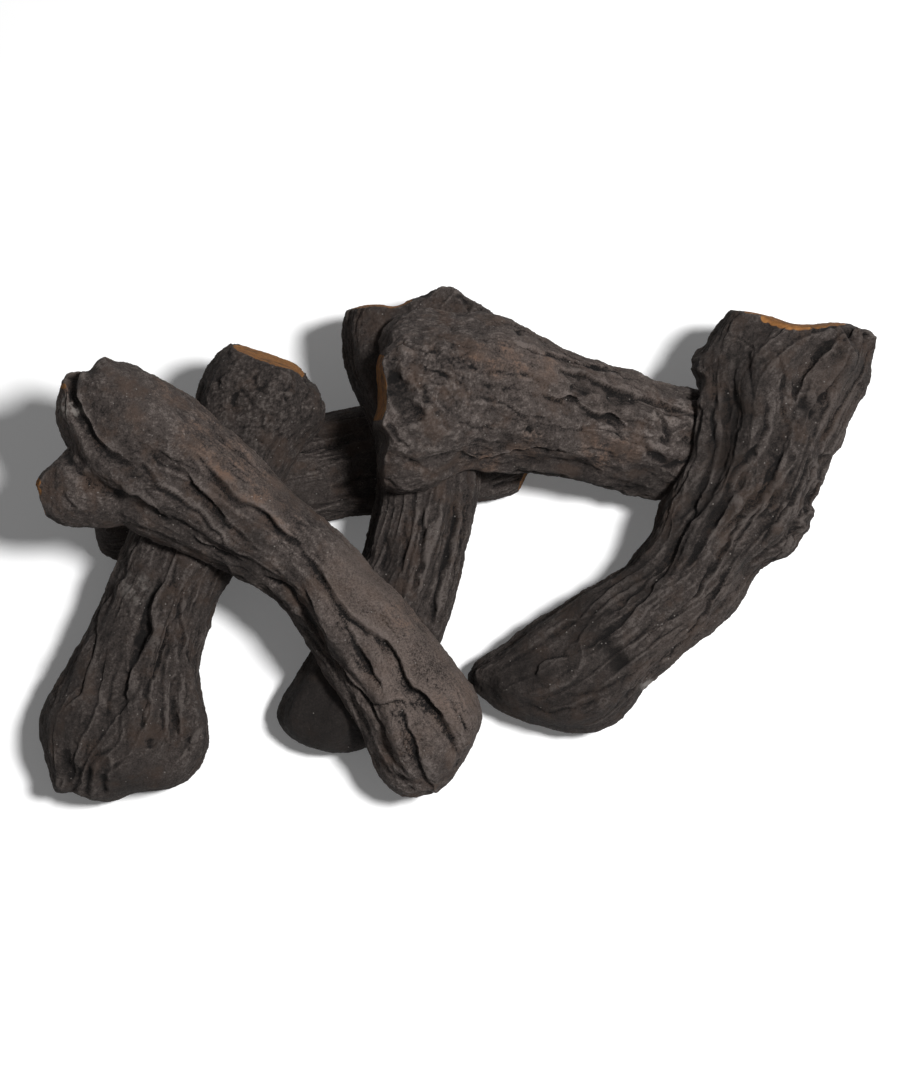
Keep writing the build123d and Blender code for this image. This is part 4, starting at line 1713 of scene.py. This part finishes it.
def top_log() -> LogPiece:
    """The log at the back, high on its left end."""
    head_hollows = (
        groove(4.5, 3.0, (391, 361), (395, 382), (402, 400), (409, 417), (412, 428)),
        ridge(1.4, 1.2, (380, 350), (384, 368), (386, 388), (392, 404), (398, 420)),
        groove(1.2, 1.1, (403, 337), (403, 343), (408, 347), (426, 351), (438, 352)),
        plate(1.4, 0.9, (422, 364), (434, 369), (444, 374), (452, 378)),
        groove(1.6, 0.9, (431, 402), (436, 411), (444, 419), (450, 432)),
        crack(0.9, 1.0, (471, 365), (475, 367), (478, 371)),
        groove(2.6, 1.4, (399, 376), (408, 392), (416, 408), (424, 421)),
        groove(2.0, 0.9, (412, 370), (424, 388), (432, 404)),
        groove(1.2, 1.2, (388, 424), (398, 440), (412, 452)),
        groove(1.2, 1.1, (405, 460), (425, 468), (445, 466)),
    )
    front_flakes = (
        plate(1.1, 1.1, (462, 453), (469, 455), (475, 458)),
        plate(
            1.5, 1.6, (470, 464), (482, 460), (493, 456), (512, 451), (531, 449), (556, 449),
            (575, 452),
        ),
        plate(1.1, 1.1, (487, 470), (505, 472), (518, 471), (531, 472), (556, 473), (600, 488)),
    )
    middle_nicks = (
        groove(1.8, 1.5, (518, 329), (519, 338)),
        groove(1.8, 1.3, (524, 428), (532, 434)),
        crack(0.9, 1.0, (526, 394), (540, 396), (560, 400)),
    )
    crest_flakes = (
        plate(
            1.4, 1.7, (560, 369), (568, 371), (579, 373), (592, 379), (604, 385), (615, 390),
            (626, 393), (638, 397), (650, 400), (664, 404), (672, 407), (687, 410), (701, 415),
        ),
        groove(2.8, 2.2, (574, 382), (582, 388), (590, 392)),
        groove(2.4, 1.6, (606, 394), (620, 398), (638, 404)),
        plate(
            1.2, 1.3, (540, 397), (557, 399), (569, 398), (580, 404), (592, 413), (609, 415),
            (620, 422), (634, 430),
        ),
    )
    right_cracks = (
        crack(0.9, 1.0, (608, 421), (614, 425), (621, 431)),
        crack(0.9, 1.0, (574, 429), (597, 430), (615, 433), (623, 442)),
        crack(0.9, 1.0, (540, 448), (555, 446), (563, 450), (586, 450), (607, 452), (615, 460)),
    )
    saddle_folds = (
        groove(
            1.6, 2.0, (640, 434), (646, 446), (651, 453), (659, 461), (667, 466), (678, 463),
            (688, 461), (698, 452),
        ),
        groove(1.3, 1.6, (652, 402), (666, 424), (668, 440), (662, 436)),
        groove(1.2, 1.4, (695, 410), (700, 430), (698, 448)),
        ridge(3.6, 1.0, (650, 412), (660, 420)),
        ridge(3.6, 1.0, (679, 428), (684, 440)),
    )
    back_cracks = (
        plate(1.0, 0.9, (500, 340), (540, 352), (580, 362), (620, 370)),
        crack(0.8, 0.8, (488, 372), (520, 374), (548, 384)),
        crack(0.8, 0.8, (470, 395), (500, 402), (520, 415), (548, 420)),
        crack(0.8, 0.8, (455, 420), (480, 428), (505, 428)),
    )
    outline = (
        Pull((378, 340), (385, 346), 7.0), Pull((381, 470), (375, 466), 9.0),
        Pull((385, 420), (377, 424), 5.0),
    )
    worn = patches(Ground.SMOOTH, (560, 478, 16.0, 0.6))
    pitted = patches(Ground.PITTED, (430, 375, 24.0, 0.7))
    covered = patches(Ground.COVERED, (386, 458, 17.0, 1.0), (382, 335, 7.0, 1.0))
    rust = patches(
        Stain.RUST, (481, 347, 3.0, 1.0), (503, 350, 5.0, 1.0), (474, 361, 4.0, 0.9),
        (497, 367, 5.0, 1.0), (520, 365, 6.0, 0.9), (548, 362, 6.0, 0.5), (600, 452, 8.0, 0.8),
        (625, 450, 6.0, 0.8), (485, 460, 6.0, 0.9), (530, 447, 8.0, 0.6),
    )
    # Painted shade in the head's hollows and on the lower flank, which lies in shadow.
    painted_shade = patches(
        Stain.SOOT, (392, 372, 5.0, 0.6), (401, 400, 5.5, 0.6), (440, 440, 16.0, 0.2),
        (584, 384, 7.0, 0.45), (612, 398, 6.0, 0.4), (640, 408, 6.0, 0.4), (530, 480, 12.0, 0.4),
        (575, 484, 12.0, 0.4), (650, 480, 12.0, 0.4), (582, 388, 4.0, 0.6), (624, 399, 5.0, 0.5),
    )
    dust = patches(Stain.DUST, (540, 350, 24.0, 0.4), (620, 375, 20.0, 0.4))
    return LogPiece(
        node="top_log",
        body="top",
        heading_deg=176.2,
        voxel_mm=0.75,
        bark=Bark(
            seed=59, tone=0.97, ridge_mm=1.0, crevice_mm=0.4, crest_mm=0.25, lump_mm=1.7,
            flake_mm=0.7, flake_count=2.6, round_mm=9.0,
        ),
        sawn=((186.2, 7.0),),
        marks=(
            *head_hollows, *front_flakes, *middle_nicks, *crest_flakes, *right_cracks, *saddle_folds,
            *back_cracks,
        ),
        pulls=outline,
        patches=worn + pitted + covered + rust + painted_shade + dust,
    )


def right_log() -> LogPiece:
    """The log at the right, with its foot to the front and its head at the back."""
    crest_flakes = (
        plate(2.0, 2.0, (813, 449), (808, 475), (795, 498), (778, 521), (760, 545)),
        plate(
            2.0, 2.2, (788, 443), (778, 468), (767, 491), (747, 514), (739, 526), (720, 560),
            (700, 590), (680, 612),
        ),
        plate(
            2.0, 2.2, (767, 394), (767, 428), (752, 457), (733, 474), (729, 495), (717, 521),
            (700, 550), (682, 575),
        ),
        ridge(1.4, 1.5, (793, 440), (795, 460), (778, 483), (767, 501), (753, 521)),
    )
    head_flakes = (
        plate(1.4, 2.0, (838, 340), (824, 352), (808, 372), (799, 388), (797, 402)),
        plate(1.1, 1.2, (852, 352), (832, 384), (814, 405), (808, 420), side=Raised.RIGHT),
        groove(2.6, 2.2, (798, 398), (808, 408), (814, 416)),
    )
    flank_flakes = (
        plate(
            1.2, 1.4, (722, 380), (714, 415), (717, 448), (707, 478), (692, 518), (670, 558),
            (642, 588), (610, 616),
        ),
        crack(1.0, 1.3, (738, 352), (733, 385), (738, 420), (728, 448)),
        crack(0.9, 1.2, (750, 340), (748, 372), (755, 402)),
        plate(1.1, 1.2, (700, 500), (688, 530), (664, 572), (640, 604), (606, 636), (575, 655)),
        plate(1.1, 1.3, (745, 545), (722, 585), (700, 622), (676, 650), (655, 668)),
        plate(1.0, 1.1, (795, 530), (770, 570), (745, 606), (722, 634)),
    )
    foot_folds = (
        plate(1.2, 1.3, (535, 680), (540, 665), (555, 660), (572, 655), side=Raised.RIGHT),
        crack(1.0, 1.1, (495, 672), (530, 650), (565, 628), (600, 602)),
        crack(1.0, 1.1, (560, 700), (600, 690), (628, 676)),
        crack(1.0, 1.1, (520, 700), (548, 712), (580, 706), (610, 694)),
        ridge(0.9, 0.9, (533, 697), (557, 687), (573, 677), (583, 657), (580, 640), (593, 623)),
        ridge(0.8, 0.8, (540, 640), (563, 623), (597, 613), (618, 600), (640, 583)),
        ridge(0.8, 0.8, (655, 560), (668, 540), (672, 515), (684, 495), (688, 470)),
        groove(4.0, 2.0, (604, 640), (614, 655), (624, 672)),
    )
    edge_knobs = (
        ridge(1.6, 1.2, (806, 500), (796, 512), (800, 524)),
        ridge(1.5, 1.3, (818, 478), (812, 490)),
        groove(1.4, 1.6, (812, 496), (800, 506)),
        groove(1.4, 1.6, (804, 526), (790, 536)),
    )
    head_cracks = (
        crack(0.9, 1.0, (832, 410), (826, 440), (818, 468)),
        crack(0.9, 1.0, (774, 345), (784, 372), (782, 400), (788, 425)),
    )
    outline = (
        Pull((798, 318), (798, 325), 13.0), Pull((874, 338), (881, 345), 7.0),
        Pull((704, 354), (697, 354), 3.2), Pull((702, 361), (694, 361), 3.2),
        Pull((702, 369), (693, 370), 3.2), Pull((814, 478), (820, 476), 3.0),
        Pull((812, 490), (818, 489), 2.4), Pull((806, 512), (813, 513), 3.0),
        Pull((800, 524), (807, 527), 2.6), Pull((809, 501), (801, 503), 2.4),
        Pull((795, 535), (787, 536), 2.6), Pull((770, 578), (764, 576), 3.0),
    )
    worn = patches(Ground.SMOOTH, (838, 375, 9.0, 0.6), (545, 675, 30.0, 0.55))
    covered = patches(Ground.COVERED, (866, 330, 9.0, 1.0), (728, 312, 7.0, 1.0))
    ash = patches(Stain.PALE, (648, 685, 3.2, 1.0))
    ochre = patches(
        Stain.SAWN, (766, 318, 2.6, 1.0), (774, 320, 3.0, 1.0), (782, 321, 3.6, 1.0),
        (790, 322, 3.9, 1.0), (799, 322, 4.0, 1.0), (808, 322, 3.9, 1.0), (817, 322, 3.5, 1.0),
        (825, 322, 2.8, 1.0),
    )
    # Painted shade in the valleys and on the flanks that face away from the lamp.
    painted_shade = patches(
        Stain.SOOT, (745, 372, 11.0, 0.62), (738, 410, 11.0, 0.67), (722, 455, 11.0, 0.67),
        (706, 500, 11.0, 0.67), (682, 540, 11.0, 0.62), (640, 580, 12.0, 0.57),
        (585, 620, 14.0, 0.57), (500, 688, 10.0, 0.6), (530, 668, 11.0, 0.6), (565, 700, 9.0, 0.35),
        (620, 662, 6.0, 0.75), (604, 648, 6.0, 0.6), (735, 560, 6.0, 0.4), (808, 408, 6.0, 0.5),
        (600, 690, 20.0, 0.25),
    )
    dust = patches(
        Stain.DUST, (818, 372, 9.0, 0.6), (835, 400, 12.0, 0.5), (700, 640, 14.0, 0.5),
        (735, 590, 8.0, 0.4), (672, 650, 9.0, 0.6), (645, 676, 7.0, 0.5),
    )
    return LogPiece(
        node="right_log",
        body="right",
        heading_deg=51.0,
        voxel_mm=0.825,
        bark=Bark(
            seed=67, tone=0.62, ridge_mm=1.3, crevice_mm=0.7, crest_mm=0.6, lump_mm=1.3,
            flake_mm=1.9, flake_count=3.4, along_mm=60.0, round_mm=7.5, wander=0.3,
        ),
        sawn=((81.0, 23.2),),
        marks=crest_flakes + head_flakes + flank_flakes + foot_folds + edge_knobs + head_cracks,
        pulls=outline,
        patches=worn + covered + ash + ochre + painted_shade + dust,
    )


def main() -> None:
    """Build the studio and every log, and note the size of the result."""
    logging.basicConfig(level=logging.INFO, format="%(name)s %(message)s")
    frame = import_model()
    cad_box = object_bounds()
    view = PhotoView()
    view.build()
    Studio().build()
    finish = CharredCeramic().build()
    for make in (rear_log, left_log, centre_log, front_log, top_log, right_log):
        piece = make()
        piece.build(frame, view, cad_box)
        piece.dress(finish)


if __name__ == "__main__":
    main()
